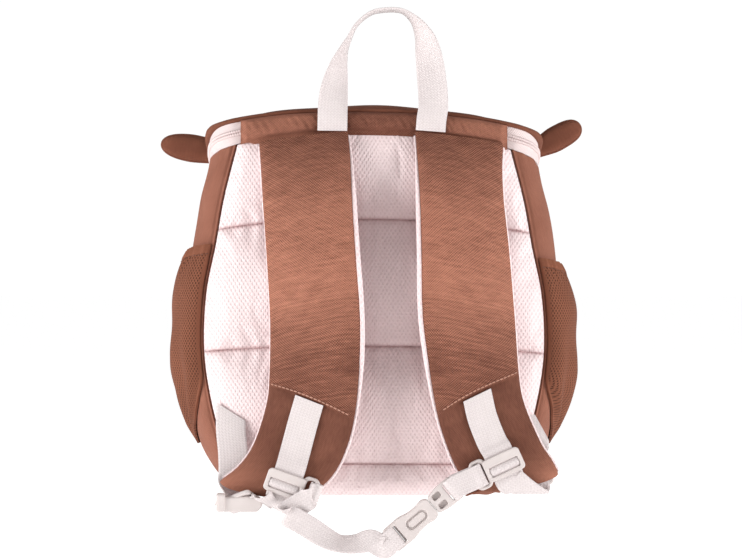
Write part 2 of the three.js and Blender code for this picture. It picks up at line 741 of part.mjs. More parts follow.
// A short loop round the prong's bar and the right ring's bar
function chestRightRows() {
  const ring = sliderFrame("right");
  const buckle = buckleFrame();
  const atProng = [[28.5, -4.2], [25, -3.9], [23.6, 0], [25, 3.9], [28.5, 4.2]];
  const atRing = [[-23.2, 3.6], [-20.2, 3.4], [-18.2, 0.5], [-20.2, -2.4], [-23.2, -2.6]];
  return [
    ...atProng.map(([x, z]) => ({ at: buckle.to(x, 0, z), across: buckle.rise })),
    ...atRing.map(([x, z]) => ({ at: ring.to(x, 0, z), across: ring.rise })),
  ];
}

// A flat padded tongue against the lid's side
function ear(row) {
  const tongue = new THREE.Shape();
  const half = EAR_HIGH / 2 - 2.2;
  tongue.moveTo(0, -half + 1);
  tongue.bezierCurveTo(EAR_LONG * 0.4, -half - 1, EAR_LONG * 0.98, -half - 0.5, EAR_LONG, 1);
  tongue.bezierCurveTo(EAR_LONG * 0.98, half + 1.5, EAR_LONG * 0.4, half + 1, 0, half - 1);
  tongue.closePath();
  const bevel = { bevelSize: 2.2, bevelThickness: 2.2, bevelSegments: 2, curveSegments: 8 };
  const geometry = new THREE.ExtrudeGeometry(tongue, { depth: EAR_THICK - 4.4, ...bevel });
  geometry.translate(0, 0, 2.2 - EAR_THICK / 2).rotateX(Math.PI / 2);
  geometry.rotateY(THREE.MathUtils.degToRad(-row.tilt)).translate(row.x, row.y, row.z);
  return cut(row.mirrored ? mirrored(geometry) : geometry, lidRoom(0.5));
}

function mirrored(geometry) {
  geometry.scale(-1, 1, 1);
  const position = geometry.getAttribute("position");
  const points = [];
  const triangles = [];
  for (let k = 0; k < position.count; k += 3) {
    for (let j = 0; j < 3; j += 1) {
      points.push(new THREE.Vector3().fromBufferAttribute(position, k + j));
    }
    triangles.push([k, k + 2, k + 1]);
  }
  return solid(points, triangles);
}

// A mesh pocket sewn to the side along its back edge, its foot and its front edge, standing off in the middle
function pocket(hand, hem) {
  const levels = evenly(0, 1, 8).map((t) => 0.15 + (hem - 0.15) * t ** 1.1);
  const grid = levels.map((level) => {
    const low = THREE.MathUtils.smoothstep(0.36 - level, 0, 0.21);
    const back = 0.03 + 0.14 * low;
    const front = 0.6 - 0.12 * low;
    const shares = evenly(back, front, 12);
    const turns = shares.map((share) => hand * (1 - share));
    return (hand > 0 ? turns.reverse() : turns).map((turn) => wallPoint(turn, level));
  });
  const room = (up, across) => {
    const lift = THREE.MathUtils.smoothstep(up, -0.05, 0.45) * (1 - 0.2 * up ** 4);
    return POCKET_ROOM * lift * Math.max(0, Math.sin(Math.PI * across)) ** 0.7;
  };
  const inner = moved(grid, (up, across) => -POCKET_LIFT - room(up, across));
  const outer = moved(grid, (up, across) => -POCKET_LIFT - POCKET_THICK - room(up, across));
  return sheet(outer, inner);
}

function mesh(name, geometry, finish) {
  const material = new THREE.MeshStandardMaterial(finish);
  const piece = new THREE.Mesh(geometry, material);
  piece.name = name;
  return piece;
}

const bag = new THREE.Group();
bag.name = "bag";
bag.add(mesh("body_wall", bodyWall(), FABRIC));
bag.add(mesh("base_panel", basePanel(), FABRIC));
bag.add(mesh("back_panel", backPanel(), MESH));
bag.add(mesh("top_lid", topLid(), FABRIC));
bag.add(mesh("top_band", topBand(), FABRIC));
bag.add(mesh("zip_tape", rimStrip(-0.995, 0.995, 40, () => GAP, (tall) => tall, 0, -ZIP_THICK), ZIP));
const coilLow = (tall) => (tall - COIL_HEIGHT) / 2;
const coilHigh = (tall) => (tall + COIL_HEIGHT) / 2;
bag.add(mesh("zip_coil", rimStrip(-0.992, 0.992, 40, coilLow, coilHigh, GAP + COIL_THICK, GAP), ZIP));
bag.add(mesh("zip_slider", zipSlider(), PLASTIC));
bag.add(mesh("pocket_left", pocket(-1, 0.72), NET));
bag.add(mesh("pocket_right", pocket(1, 0.69), NET));

const harness = new THREE.Group();
harness.name = "harness";
harness.position.x = HARNESS_SHIFT;
harness.add(mesh("grab_handle", grabHandle(), WEBBING));
for (const hand of ["left", "right"]) {
  bag.add(mesh(`ear_${hand}`, ear(EARS[hand]), FABRIC));
  harness.add(mesh(`strap_cover_${hand}`, strapHalf(STRAPS[hand], PAD_COVER, GAP), FABRIC));
  harness.add(mesh(`strap_lining_${hand}`, strapHalf(STRAPS[hand], -PAD_LINING, GAP), MESH));
  harness.add(mesh(`strap_webbing_${hand}`, ribbon(strapWebRows(hand), WEB_WIDE, WEB_THICK, 24), WEBBING));
  harness.add(mesh(`strap_lock_${hand}`, place(strapLock(), lockFrame(hand)), PLASTIC));
  harness.add(mesh(`anchor_webbing_${hand}`, ribbon(anchorRows(hand), WEB_WIDE, WEB_THICK, 18), WEBBING));
}
harness.add(mesh("chest_slider_left", place(chestSlider(1), sliderFrame("left")), PLASTIC));
harness.add(mesh("chest_slider_right", place(chestSlider(-1), sliderFrame("right")), PLASTIC));
harness.add(mesh("chest_webbing_left", ribbon(chestLeftRows(), CHEST_WIDE, CHEST_THICK, 44), WEBBING));
const shortLoop = ribbon(chestRightRows(), CHEST_WIDE, CHEST_THICK, 20, true);
harness.add(mesh("chest_webbing_right", shortLoop, WEBBING));
harness.add(mesh("buckle_socket", place(buckleSocket(), buckleFrame()), PLASTIC));
harness.add(mesh("buckle_prong", place(buckleProng(), buckleFrame()), PLASTIC));
bag.add(harness);

const backpack = new THREE.Group();
backpack.name = "backpack";
bag.position.z = -HANG_HEIGHT;
backpack.add(bag);

export default backpack;
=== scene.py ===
"""Looks of a small child's backpack hung by its grab handle: cloth, spacer mesh, net, webbing, zip, plastic.

Shapes are worked out in millimetres over the bag's base, as the solids are, and turned to metres at the end.
"""

import math

import bmesh
import bpy
import numpy as np
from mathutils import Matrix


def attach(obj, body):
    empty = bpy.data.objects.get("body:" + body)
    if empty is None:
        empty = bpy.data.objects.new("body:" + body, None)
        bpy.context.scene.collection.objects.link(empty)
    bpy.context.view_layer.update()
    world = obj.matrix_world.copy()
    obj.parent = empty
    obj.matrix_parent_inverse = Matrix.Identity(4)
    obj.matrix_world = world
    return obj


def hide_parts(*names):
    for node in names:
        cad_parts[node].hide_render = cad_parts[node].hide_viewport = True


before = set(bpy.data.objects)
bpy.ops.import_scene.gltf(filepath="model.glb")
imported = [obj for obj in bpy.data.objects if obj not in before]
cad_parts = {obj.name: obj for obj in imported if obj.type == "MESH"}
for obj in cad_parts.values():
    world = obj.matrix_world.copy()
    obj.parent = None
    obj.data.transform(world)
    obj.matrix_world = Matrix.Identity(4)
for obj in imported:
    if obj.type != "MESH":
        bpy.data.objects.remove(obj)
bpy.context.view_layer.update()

# General sizes
MM = 0.001
HANG_HEIGHT = 326.7  # underside of the handle's crown above the base
HARNESS_SHIFT = 2.0  # handle and straps sit a little to the right of the bag's middle
GAP = 0.3
HANDS = ("left", "right")
INWARDS = {"left": 1, "right": -1}  # direction of the bag's middle along x

# Bag
WALL = 2.0
RIM_HEIGHT = 247.0
RIM_ARCH = 11.0
RIM_ARCH_SPAN = 94.0
RIM_FRONT_DROP = 42.0
RIM_TILT = 0.018
SIDE_SHARE = 0.4
SQUARENESS = 2.7
HALF_ROUND = 218.0  # half the way round the wall at its widest
PANEL_THICK = 4.5
PANEL_OUT = 1.5  # the back's seams stand this far out from the wall's edge
PANEL_PUFF = 6.0
QUILT_SEAMS = np.array([0, 0.09, 0.413, 0.76, 1])

# Lid, zip and band
STRIP_HEIGHT = 12.6
STRIP_GROWTH = 3.0
CROWN_HEIGHT = 266.5
CROWN_BOW = 0.00092  # fall of the lid to its sides, for each square of the distance
CROWN_SLOPE = 0.0028  # fall of the lid to its front
PIPING_BACK = 1.6
PIPING_FRONT = 3.1
LID_MIDDLE = 45.0
ZIP_THICK = 1.6
BAND_HALF = 90.0
BAND_THICK = 3.0
BAND_END = 2.1  # height of the band's ends over the rim's line

# Straps and webbing
PAD_COVER = 5.2
PAD_LINING = 3.6
WEB_WIDE = 20.0
WEB_THICK = 1.8
CHEST_WIDE = 15.0
CHEST_THICK = 1.6

# Ears and pockets
EAR_LONG = 46.0
EAR_THICK = 6.0
EAR_CURL = 2.0  # the tips lean this far to the side of the straps
EAR_CUP = 0.012  # fall of the edges to the other side, for each square of the distance
EAR_RIM = 0.95
POCKET_THICK = 1.5
POCKET_LIFT = 0.7
POCKET_ROOM = 11.0
POCKET_FOOT = 0.15
POCKET_HEMS = {"left": 0.72, "right": 0.69}
EARS = {
    "left": {"tip": 5, "x": -103, "y": 58, "z": 235.3, "tilt": 8.5, "high": 18.2, "root": 0.82},
    "right": {"tip": 9, "x": 104, "y": 58, "z": 232.5, "tilt": 29, "high": 16.2, "root": 0.55},
}

# Depths of rolls, puckers, gathers, folds and dents in the cloth
WALL_ROLL = 1.3
WALL_GROOVE = 0.6  # beside the roll
FOOT_PUCKERS = 0.45
RIM_PUCKERS = 0.5
WALL_DENTS = 1.1
PAD_GATHERS = 0.7
PAD_DENTS = 0.5
LID_DENTS = 1.2
LID_PUCKERS = 0.45
BAND_FOLDS = 0.9
BAND_HEMS = 0.5
SEAM_FOLD = 0.9  # step of the strap's cloth that ends on the slanted seam
SEAM_TUCK = 1.6  # swelling of that cloth over the webbing's sewn end
STRAP_WAVES = 0.25
EAR_DENTS = 0.35
POCKET_GATHERS = 0.9
POCKET_PLEATS = 3.0
POCKET_HEM = 0.7
POCKET_SAG = 1.2


def table(columns, rows):
    """Rows of numbers with named columns"""
    return {name: np.array([row[k] for row in rows], float) for k, name in enumerate(columns.split())}


# Levels of the bag's wall from base to rim
LEVELS = table("level back side front side_depth lean", [
    [0.0, 62, 90, 96, 50, 12],
    [0.03, 79, 102, 106, 50, 6.5],
    [0.08, 92, 112, 113, 48, 2.5],
    [0.16, 103, 121, 118, 46, 0.6],
    [0.28, 111, 126, 121, 45, 0],
    [0.42, 115.5, 127.5, 122, 45, 0],
    [0.58, 114, 127, 120, 45, 0],
    [0.72, 107.5, 126, 115, 44, 0],
    [0.85, 102, 121, 107, 41, 0],
    [1.0, 93, 113.5, 98, 38, 0],
])

# Edges of the shoulder straps from the top seam to the lower end
STRAP_COLUMNS = "place outer_x outer_y outer_z inner_x inner_y inner_z"
STRAPS = {
    "left": table(STRAP_COLUMNS, [
        [0, -79.3, -7, 238.8, -19.5, -7.5, 245.9],
        [1, -78, -12, 224, -18, -17, 230.5],
        [2, -76.4, -16, 199.9, -16.6, -27, 206.5],
        [3, -73.8, -17.5, 164, -14.3, -33, 170],
        [4, -71.4, -17.5, 120.2, -11, -33, 124.8],
        [5, -71.8, -17.5, 83.6, -11.3, -31, 90.3],
        [6, -73.8, -19, 63.7, -14.6, -28, 57],
        [7, -81.7, -21, 38.4, -20.6, -26, 33.8],
        [8, -92.4, -22, 22.5, -30.6, -25, 15.2],
        [9, -108.8, -22, 10.2, -48.5, -23, -0.6],
    ]),
    "right": table(STRAP_COLUMNS, [
        [0, 85, -7, 238, 25.5, -7.5, 245.7],
        [1, 84, -12, 222.5, 26.7, -17, 229],
        [2, 84.7, -16, 199.9, 27.9, -27, 206.5],
        [3, 88.4, -17.5, 164, 28.8, -33, 170],
        [4, 92, -17.5, 120.2, 29.6, -33, 124.8],
        [5, 94.7, -17.5, 83.6, 33.9, -31, 90.3],
        [6, 98.3, -19, 63.7, 39.9, -28, 57],
        [7, 109, -21, 38.4, 47.2, -26, 33.8],
        [8, 117, -22, 25.8, 55.1, -25, 17.8],
        [9, 122.3, -22, 15.2, 68.4, -23, 4.5],
    ]),
}
STRAP_END = 9
STRAP_CLOSE = 0.5  # rows over which the lower end thins

# The slanted seam low on each strap: place along the outer and the inner edge
STRAP_SEAMS = {"left": (5.3, 6.12), "right": (4.98, 6.02)}

# Places along and across each strap that its webbing follows, with its height over the cover
STRAP_WEBS = {
    "left": [(5.74, 0.49, 0.5), (6.4, 0.463, 0.6), (7.2, 0.485, 1.0)],
    "right": [(5.6, 0.53, 0.5), (6.2, 0.53, 0.6), (6.9, 0.52, 1.0)],
}
# Slopes of each webbing's upper end, which follows its seam, on either half of its width
WEB_SLANTS = {"left": (0.08, 0.08), "right": (0.22, 0.22)}
ANCHOR_SLANTS = {"left": (0.62, 0.62), "right": (-1.7, 0)}
ANCHOR_WIDTHS = {"left": (1, -0.05, 0), "right": (-0.95, -0.3, 0)}

# Seats of the chest sliders: along and across the strap, height over the cover, turn in degrees
SLIDERS = {
    "left": {"along": 8.4, "share": 0.62, "lift": 3.9, "turn": 32},
    "right": {"along": 7.78, "share": 0.52, "lift": 3.9, "turn": -8},
}

# Ladder locks under the straps' ends: middle, direction of the bars, direction towards the strap's webbing
LOCKS = {
    "left": {"at": (-90.3, -21, -0.5), "bars": (0.3, 0.85, -0.3), "towards": (0.92, -0.2, 0.35)},
    "right": {"at": (104, -9.8, 18), "bars": (-0.98, 0, -0.15), "towards": (0.05, -0.28, -0.96)},
}
THROUGH_SLIDER = [(10.5, 0), (4.4, -0.2), (1.6, 0.6), (-1.7, 2.8), (-5, 0.6), (-7.8, -0.2), (-12, 0)]
DIP = [(12.5, 4), (9.2, 3.4), (6.6, 2.9), (4.3, 0.9), (3.9, -2.6)]
LOOP_ROUND = [(-8, -3.3), (-10.6, -2.7), (-12.2, 0), (-10.6, 2.7), (-8, 3.1), (-3.5, 3)]

# Free part of each strap's webbing between the strap's end and its lock: middle line, width direction;
# a third entry keeps the width of a slanted fold
WEB_ENDS = {
    "left": [((-75, -28.5, -1), None)],
    "right": [
        ((101.2, -29.2, 6.4), (-1.2, 0, -0.03), "slanted"),
        ((101.8, -26.2, 5.2), (-1.24, 0, 0), "slanted"),
        ((102.6, -21.5, 6.4), (-1.2, 0, -0.05), "slanted"),
    ],
}

# Middle line of the webbing from each lower corner of the back to its lock
ANCHORS = {
    "left": [(-98, -9.4, 58), (-98, -11, 46), (-96.5, -12.6, 30), (-96.5, -11.6, 15)],
    "right": [(105.8, -8.8, 56), (105.8, -10, 48), (105.4, -11.8, 39)],
}

# Slack chest strap from the left slider's ring to the buckle: middle line, width direction
CHEST_SLACK = [
    ((-44.5, -39, 3), (0, 0, 1)),
    ((-54, -38.3, -3), (-0.45, 0, 0.89)),
    ((-60, -40.3, -7.5), (-0.2, 0, 0.98)),
    ((-54, -42.3, -10.5), (0.3, 0, 0.95)),
    ((-44, -41.5, -16.5), (0.5, 0.1, 0.86)),
    ((-34, -39.5, -23), (0.4, 0.5, 0.77)),
    ((-24, -38, -27.3), (0.05, 0.75, 0.66)),
    ((-13.5, -37.5, -27.3), (-0.2, 0.65, 0.73)),
    ((-4, -38, -25.3), (-0.42, 0.3, 0.85)),
]
BUCKLE_AT = (30.4, -36, -7.7)
BUCKLE_ALONG = (0.765, 0, 0.643)

# Middle line of the grab handle and the turn of its width about the upright, in degrees
HANDLE = [
    ((-30, -9.4, 246.8), 0),
    ((-29.9, -9.6, 254), 0),
    ((-29.7, -8.6, 263), 8),
    ((-29, -7.2, 272.5), 23),
    ((-27.4, -5.5, 282), 40),
    ((-24.3, -3, 295), 64),
    ((-22, -2, 302), 76),
    ((-19.4, -1, 308), 84),
    ((-13.4, 0, 319.5), 91),
    ((-3.4, 0, 327.2), 92),
    ((5, 0, 328.9), 90),
    ((12, 0, 329.1), 90),
    ((18, 0, 327.9), 92),
    ((25, 0, 322.4), 104),
    ((30.5, -1, 313.2), 122),
    ((34, -3, 302), 143),
    ((36.5, -5.5, 285), 162),
    ((37.9, -8.6, 264), 177),
    ((36.6, -9.6, 254), 180),
    ((36, -9.4, 246.5), 180),
]


# Vectors and smooth lines

def unit(vectors):
    return vectors / np.linalg.norm(vectors, axis=-1, keepdims=True)


def dot(a, b):
    return np.sum(a * b, axis=-1, keepdims=True)


def smooth(value, low, high):
    """From 0 to 1 while a value goes from low to high"""
    t = np.clip((value - low) / (high - low), 0, 1)
    return t * t * (3 - 2 * t)


def bump(value, middle, reach):
    """A soft rise to 1 at the middle"""
    return np.exp(-(((value - middle) / reach) ** 2))


def sway(u, v, *waves):
    """Mean of slow sine waves over a cloth; each has its length, its direction in degrees and its start"""
    total = 0
    for length, direction, start in waves:
        turn = math.radians(direction)
        total = total + np.sin(2 * math.pi * (u * math.cos(turn) + v * math.sin(turn)) / length + start)
    return total / len(waves)


def between(rows, position, column, at):
    """Smooth value of a column between the rows of a table"""
    place, value = rows[position], rows[column]
    last = len(place) - 1
    before = np.maximum(np.arange(last + 1) - 1, 0)
    after = np.minimum(np.arange(last + 1) + 1, last)
    slope = (value[after] - value[before]) / (place[after] - place[before])
    k = np.clip(np.searchsorted(place, at) - 1, 0, last - 1)
    span = place[k + 1] - place[k]
    t = (at - place[k]) / span
    fall = (1 + 2 * t) * (1 - t) ** 2
    leave = t * (1 - t) ** 2 * span * slope[k]
    arrive = t * t * (t - 1) * span * slope[k + 1]
    return fall * value[k] + (1 - fall) * value[k + 1] + leave + arrive


def spine(rows, count, joined=False):
    """Points on a smooth line through rows of points"""
    p = np.array(rows, float)
    size = len(p)
    place = np.linspace(0, size if joined else size - 1, count, endpoint=not joined)
    k = np.minimum(place.astype(int), size - 1 if joined else size - 2)
    t = (place - k)[:, None]
    if joined:
        p0, p1, p2, p3 = (p[(k + step) % size] for step in (-1, 0, 1, 2))
    else:
        wide = np.vstack([2 * p[0] - p[1], p, 2 * p[-1] - p[-2]])
        p0, p1, p2, p3 = (wide[k + step] for step in range(4))
    pairs = ((p0, p1), (p1, p2), (p2, p3))
    d0, d1, d2 = (np.sqrt(np.linalg.norm(b - a, axis=1, keepdims=True)) for a, b in pairs)
    leave = ((p1 - p0) / d0 - (p2 - p0) / (d0 + d1) + (p2 - p1) / d1) * d1
    arrive = ((p2 - p1) / d1 - (p3 - p1) / (d1 + d2) + (p3 - p2) / d2) * d1
    square = -3 * p1 + 3 * p2 - 2 * leave - arrive
    cube = 2 * p1 - 2 * p2 + leave + arrive
    return p1 + leave * t + square * t**2 + cube * t**3


def arc(points, axis):
    """Length along one direction of a grid of points"""
    steps = np.linalg.norm(np.diff(points, axis=axis), axis=-1)
    start = np.zeros_like(np.take(steps, [0], axis=axis))
    return np.concatenate([start, np.cumsum(steps, axis=axis)], axis=axis)


def lengths(points):
    """Weave coordinates of a grid of points: lengths across and along it"""
    return np.stack([arc(points, 1), arc(points, 0)], axis=-1)


def normals(points):
    """Directions off a grid of points, to the side of columns crossed with rows"""
    return unit(np.cross(np.gradient(points, axis=1), np.gradient(points, axis=0)))


# Meshes

class Part:
    """Points in millimetres, faces, weave coordinates for each corner of a face, and masks for each point"""

    def __init__(self, points, faces, weave, masks=None):
        self.points = points.reshape(-1, 3)
        self.faces = faces
        self.weave = weave
        self.masks = masks or {}


def quads(grid):
    """The four corners of each cell of a grid"""
    cells = np.stack([grid[:-1, :-1], grid[:-1, 1:], grid[1:, 1:], grid[1:, :-1]], axis=2)
    return cells.reshape(-1, 4, *grid.shape[2:])


def closed(loops):
    """Loops with their first entry again at the end"""
    return np.concatenate([loops, loops[:, :1]], axis=1)


def shell(outer, inner, weave, **masks):
    """A sheet with thickness between two grids of points"""
    rows, columns = outer.shape[:2]
    out = np.arange(rows * columns).reshape(rows, columns)
    rim = np.concatenate([out[0, :-1], out[:-1, -1], out[-1, :0:-1], out[:, 0][::-1]])
    border = np.stack([rim, rim + out.size])
    border_weave = weave.reshape(-1, 2)[np.stack([rim, rim])]
    faces = np.vstack([quads(out), quads(out[:, ::-1] + out.size), quads(border)])
    corners = np.vstack([quads(weave), quads(weave[:, ::-1]), quads(border_weave)])
    both = {name: np.tile(mask.ravel(), 2) for name, mask in masks.items()}
    return Part(np.stack([outer, inner]), [faces], [corners], both)


def rings(points, weave, joined=False):
    """A solid through rings of points, with flat ends, or joined end to end"""
    count, around = points.shape[:2]
    index = closed(np.arange(count * around).reshape(count, around))
    if joined:
        index = np.vstack([index, index[:1]])
        return Part(points, [quads(index)], [quads(weave)])
    ends = np.stack([index[0, :-1][::-1], index[-1, :-1]])
    ends_weave = np.stack([weave[0, :-1][::-1], weave[-1, :-1]])
    return Part(points, [quads(index), ends], [quads(weave), ends_weave])


def disc(loops, middle, weave, middle_weave):
    """A skin over closed loops of points that close on a middle point"""
    count, around = loops.shape[:2]
    index = closed(np.arange(count * around).reshape(count, around))
    whole = closed(weave)
    tip = np.full(around, count * around)
    fan = np.stack([index[-1, :-1], index[-1, 1:], tip], axis=1)
    fan_weave = np.stack([whole[-1, :-1], whole[-1, 1:], np.tile(middle_weave, (around, 1))], axis=1)
    points = np.vstack([loops.reshape(-1, 3), middle])
    return Part(points, [quads(index), fan], [quads(whole), fan_weave])


def lens(high, high_middle, low, low_middle, weave, middle_weave):
    """Two skins over closed loops, joined by a skirt round their outer loops"""
    edge = closed(np.stack([high[0], low[0]]))
    index = np.arange(edge.shape[0] * edge.shape[1]).reshape(edge.shape[:2])
    skirt = Part(edge, [quads(index)], [quads(np.zeros((*edge.shape[:2], 2)))])
    upper = disc(high, high_middle[None], weave, middle_weave)
    lower = disc(low, low_middle[None], weave, middle_weave)
    return [upper, lower, skirt]


def strand(path, facing, radius, sides=8, joined=False):
    """A round cord along a path; facing is a direction across it"""
    along = unit(np.gradient(path, axis=0))
    if joined:
        along = unit(np.roll(path, -1, axis=0) - np.roll(path, 1, axis=0))
    across = unit(np.cross(along, np.broadcast_to(facing, path.shape)))
    up = np.cross(across, along)
    angle = np.linspace(0, 2 * math.pi, sides, endpoint=False)[None, :, None]
    points = path[:, None] + radius * (np.cos(angle) * across[:, None] + np.sin(angle) * up[:, None])
    length = arc(path[:, None], 0)[:, 0]
    if joined:
        length = np.append(length, length[-1] + np.linalg.norm(path[-1] - path[0]))
    girth = np.linspace(0, 2 * math.pi * np.max(radius), sides + 1)
    weave = np.stack(np.meshgrid(girth, length), axis=-1)
    return rings(points, weave, joined)


STITCH_SIDES = 6
STITCH_RINGS = table("share thick", [
    [0, 0.35],
    [0.12, 0.85],
    [0.5, 1.0],
    [0.88, 0.85],
    [1, 0.35],
])


def stitches(path, facing, pitch=3.0, length=2.2, radius=0.32, lift=0.05):
    """A row of thread stitches along a path that lies on cloth; facing is the direction off the cloth"""
    place = arc(path[:, None], 0)[:, 0]
    starts = np.arange(0.5, place[-1] - length, pitch)
    facing = np.broadcast_to(facing, path.shape)
    share = STITCH_RINGS["share"]
    thick = radius * STITCH_RINGS["thick"]
    at = starts[:, None] + length * share
    middle = np.stack([np.interp(at, place, path[:, axis]) for axis in range(3)], axis=-1)
    up = unit(np.stack([np.interp(at, place, facing[:, axis]) for axis in range(3)], axis=-1))
    middle = middle + up * (lift + 0.5 * thick[None, :, None])
    along = unit(middle[:, -1:] - middle[:, :1])
    across = unit(np.cross(along, up))
    angle = np.linspace(0, 2 * math.pi, STITCH_SIDES, endpoint=False)[:, None]
    off = np.cos(angle) * across[:, :, None] + np.sin(angle) * up[:, :, None]
    points = middle[:, :, None] + thick[None, :, None, None] * off
    weave = np.stack(np.meshgrid(np.linspace(0, 2, STITCH_SIDES + 1), length * share), axis=-1)
    return [rings(row, weave) for row in points]


def one(parts):
    """Parts joined into one"""
    points, faces, weave, masks, count = [], {}, {}, {}, 0
    for part in parts:
        for corners, places in zip(part.faces, part.weave):
            faces.setdefault(corners.shape[1], []).append(corners + count)
            weave.setdefault(corners.shape[1], []).append(places)
        points.append(part.points)
        count += len(part.points)
    for name in sorted({name for part in parts for name in part.masks}):
        masks[name] = np.concatenate([part.masks.get(name, np.zeros(len(part.points))) for part in parts])
    all_faces = [np.vstack(faces[size]) for size in sorted(faces)]
    all_weave = [np.vstack(weave[size]) for size in sorted(weave)]
    return Part(np.vstack(points), all_faces, all_weave, masks)


def piece(name, parts, finish, stands_for=(), shift=0.0, sharp=50):
    """One object of the parts, in metres, on the bag's one body"""
    part = one(parts)
    points = (part.points + [shift, 0, -HANG_HEIGHT]) * MM
    corners = np.concatenate([faces.ravel() for faces in part.faces])
    totals = np.concatenate([np.full(len(faces), faces.shape[1]) for faces in part.faces])
    mesh = bpy.data.meshes.new(name)
    mesh.vertices.add(len(points))
    mesh.vertices.foreach_set("co", points.ravel())
    mesh.loops.add(len(corners))
    mesh.loops.foreach_set("vertex_index", corners.astype(np.int32))
    mesh.polygons.add(len(totals))
    mesh.polygons.foreach_set("loop_start", np.append(0, np.cumsum(totals)[:-1]).astype(np.int32))
    mesh.update(calc_edges=True)
    weave = np.concatenate([places.reshape(-1, 2) for places in part.weave])
    mesh.uv_layers.new(name="weave").uv.foreach_set("vector", weave.ravel())
    for mask, values in part.masks.items():
        mesh.attributes.new(mask, "FLOAT", "POINT").data.foreach_set("value", values)
    shape = bmesh.new()
    shape.from_mesh(mesh)
    bmesh.ops.recalc_face_normals(shape, faces=shape.faces)
    shape.to_mesh(mesh)
    shape.free()
    mesh.shade_smooth()
    mesh.set_sharp_from_angle(angle=math.radians(sharp))
    mesh.materials.append(finish)
    made = bpy.data.objects.new(name, mesh)
    bpy.context.scene.collection.objects.link(made)
    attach(made, "root")
    if stands_for:
        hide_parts(*stands_for)
    return made


# Padded cloth

SETTLE_FRAMES = 20
SETTLE_UNIT = 0.01  # cloth settles at ten times its size, where the solver is steady
CLOTH_FEEL = {
    "quality": 6,
    "mass": 0.3,
    "tension_stiffness": 25,
    "compression_stiffness": 25,
    "shear_stiffness": 12,
    "bending_stiffness": 0.4,
    "tension_damping": 15,
}


def settled(points, held, outwards, spare, pressure):
    """A grid of points as cloth with spare length, held where the mask is set, pressed out by its filling"""
    rows, columns = points.shape[:2]
    mesh = bpy.data.meshes.new("settling")
    faces = quads(np.arange(rows * columns).reshape(rows, columns))
    mesh.from_pydata((points.reshape(-1, 3) * SETTLE_UNIT).tolist(), [], faces.tolist())
    holder = bpy.data.objects.new("settling", mesh)
    bpy.context.scene.collection.objects.link(holder)
    pins = holder.vertex_groups.new(name="held")
    pins.add(np.flatnonzero(held.ravel()).tolist(), 1.0, "REPLACE")
    facing = np.sum(normals(points) * outwards)
    cloth = holder.modifiers.new("settling", "CLOTH")
    cloth.settings.vertex_group_mass = "held"
    for name, value in CLOTH_FEEL.items():
        setattr(cloth.settings, name, value)
    cloth.settings.shrink_min = -spare
    cloth.settings.use_pressure = True
    cloth.settings.uniform_pressure_force = math.copysign(pressure, facing)
    cloth.settings.effector_weights.gravity = 0
    cloth.collision_settings.use_collision = False
    cloth.point_cache.frame_end = SETTLE_FRAMES
    scene = bpy.context.scene
    for number in range(1, SETTLE_FRAMES + 1):
        scene.frame_set(number)
    shaped = holder.evaluated_get(bpy.context.evaluated_depsgraph_get()).data
    result = np.zeros(len(shaped.vertices) * 3)
    shaped.vertices.foreach_get("co", result)
    scene.frame_set(1)
    bpy.data.objects.remove(holder)
    bpy.data.meshes.remove(mesh)
    return result.reshape(points.shape) / SETTLE_UNIT


# Finishes

class Value:
    """A socket of a finish; arithmetic on it adds Math nodes"""

    def __init__(self, finish, socket):
        self.finish = finish
        self.socket = socket

    def math(self, operation, first, second=0.0):
        return self.finish.node("ShaderNodeMath", {"operation": operation}, {0: first, 1: second})

    def __add__(self, other):
        return self.math("ADD", self, other)

    def __radd__(self, other):
        return self.math("ADD", other, self)

    def __sub__(self, other):
        return self.math("SUBTRACT", self, other)

    def __rsub__(self, other):
        return self.math("SUBTRACT", other, self)

    def __mul__(self, other):
        return self.math("MULTIPLY", self, other)

    def __rmul__(self, other):
        return self.math("MULTIPLY", other, self)

    def __truediv__(self, other):
        return self.math("DIVIDE", self, other)

    def wave(self, length, operation="SINE"):
        """A wave over this value, once in each length"""
        return self.math(operation, self * (2 * math.pi / length))

    def other(self, output):
        """Another output of the same node"""
        return Value(self.finish, self.socket.node.outputs[output])


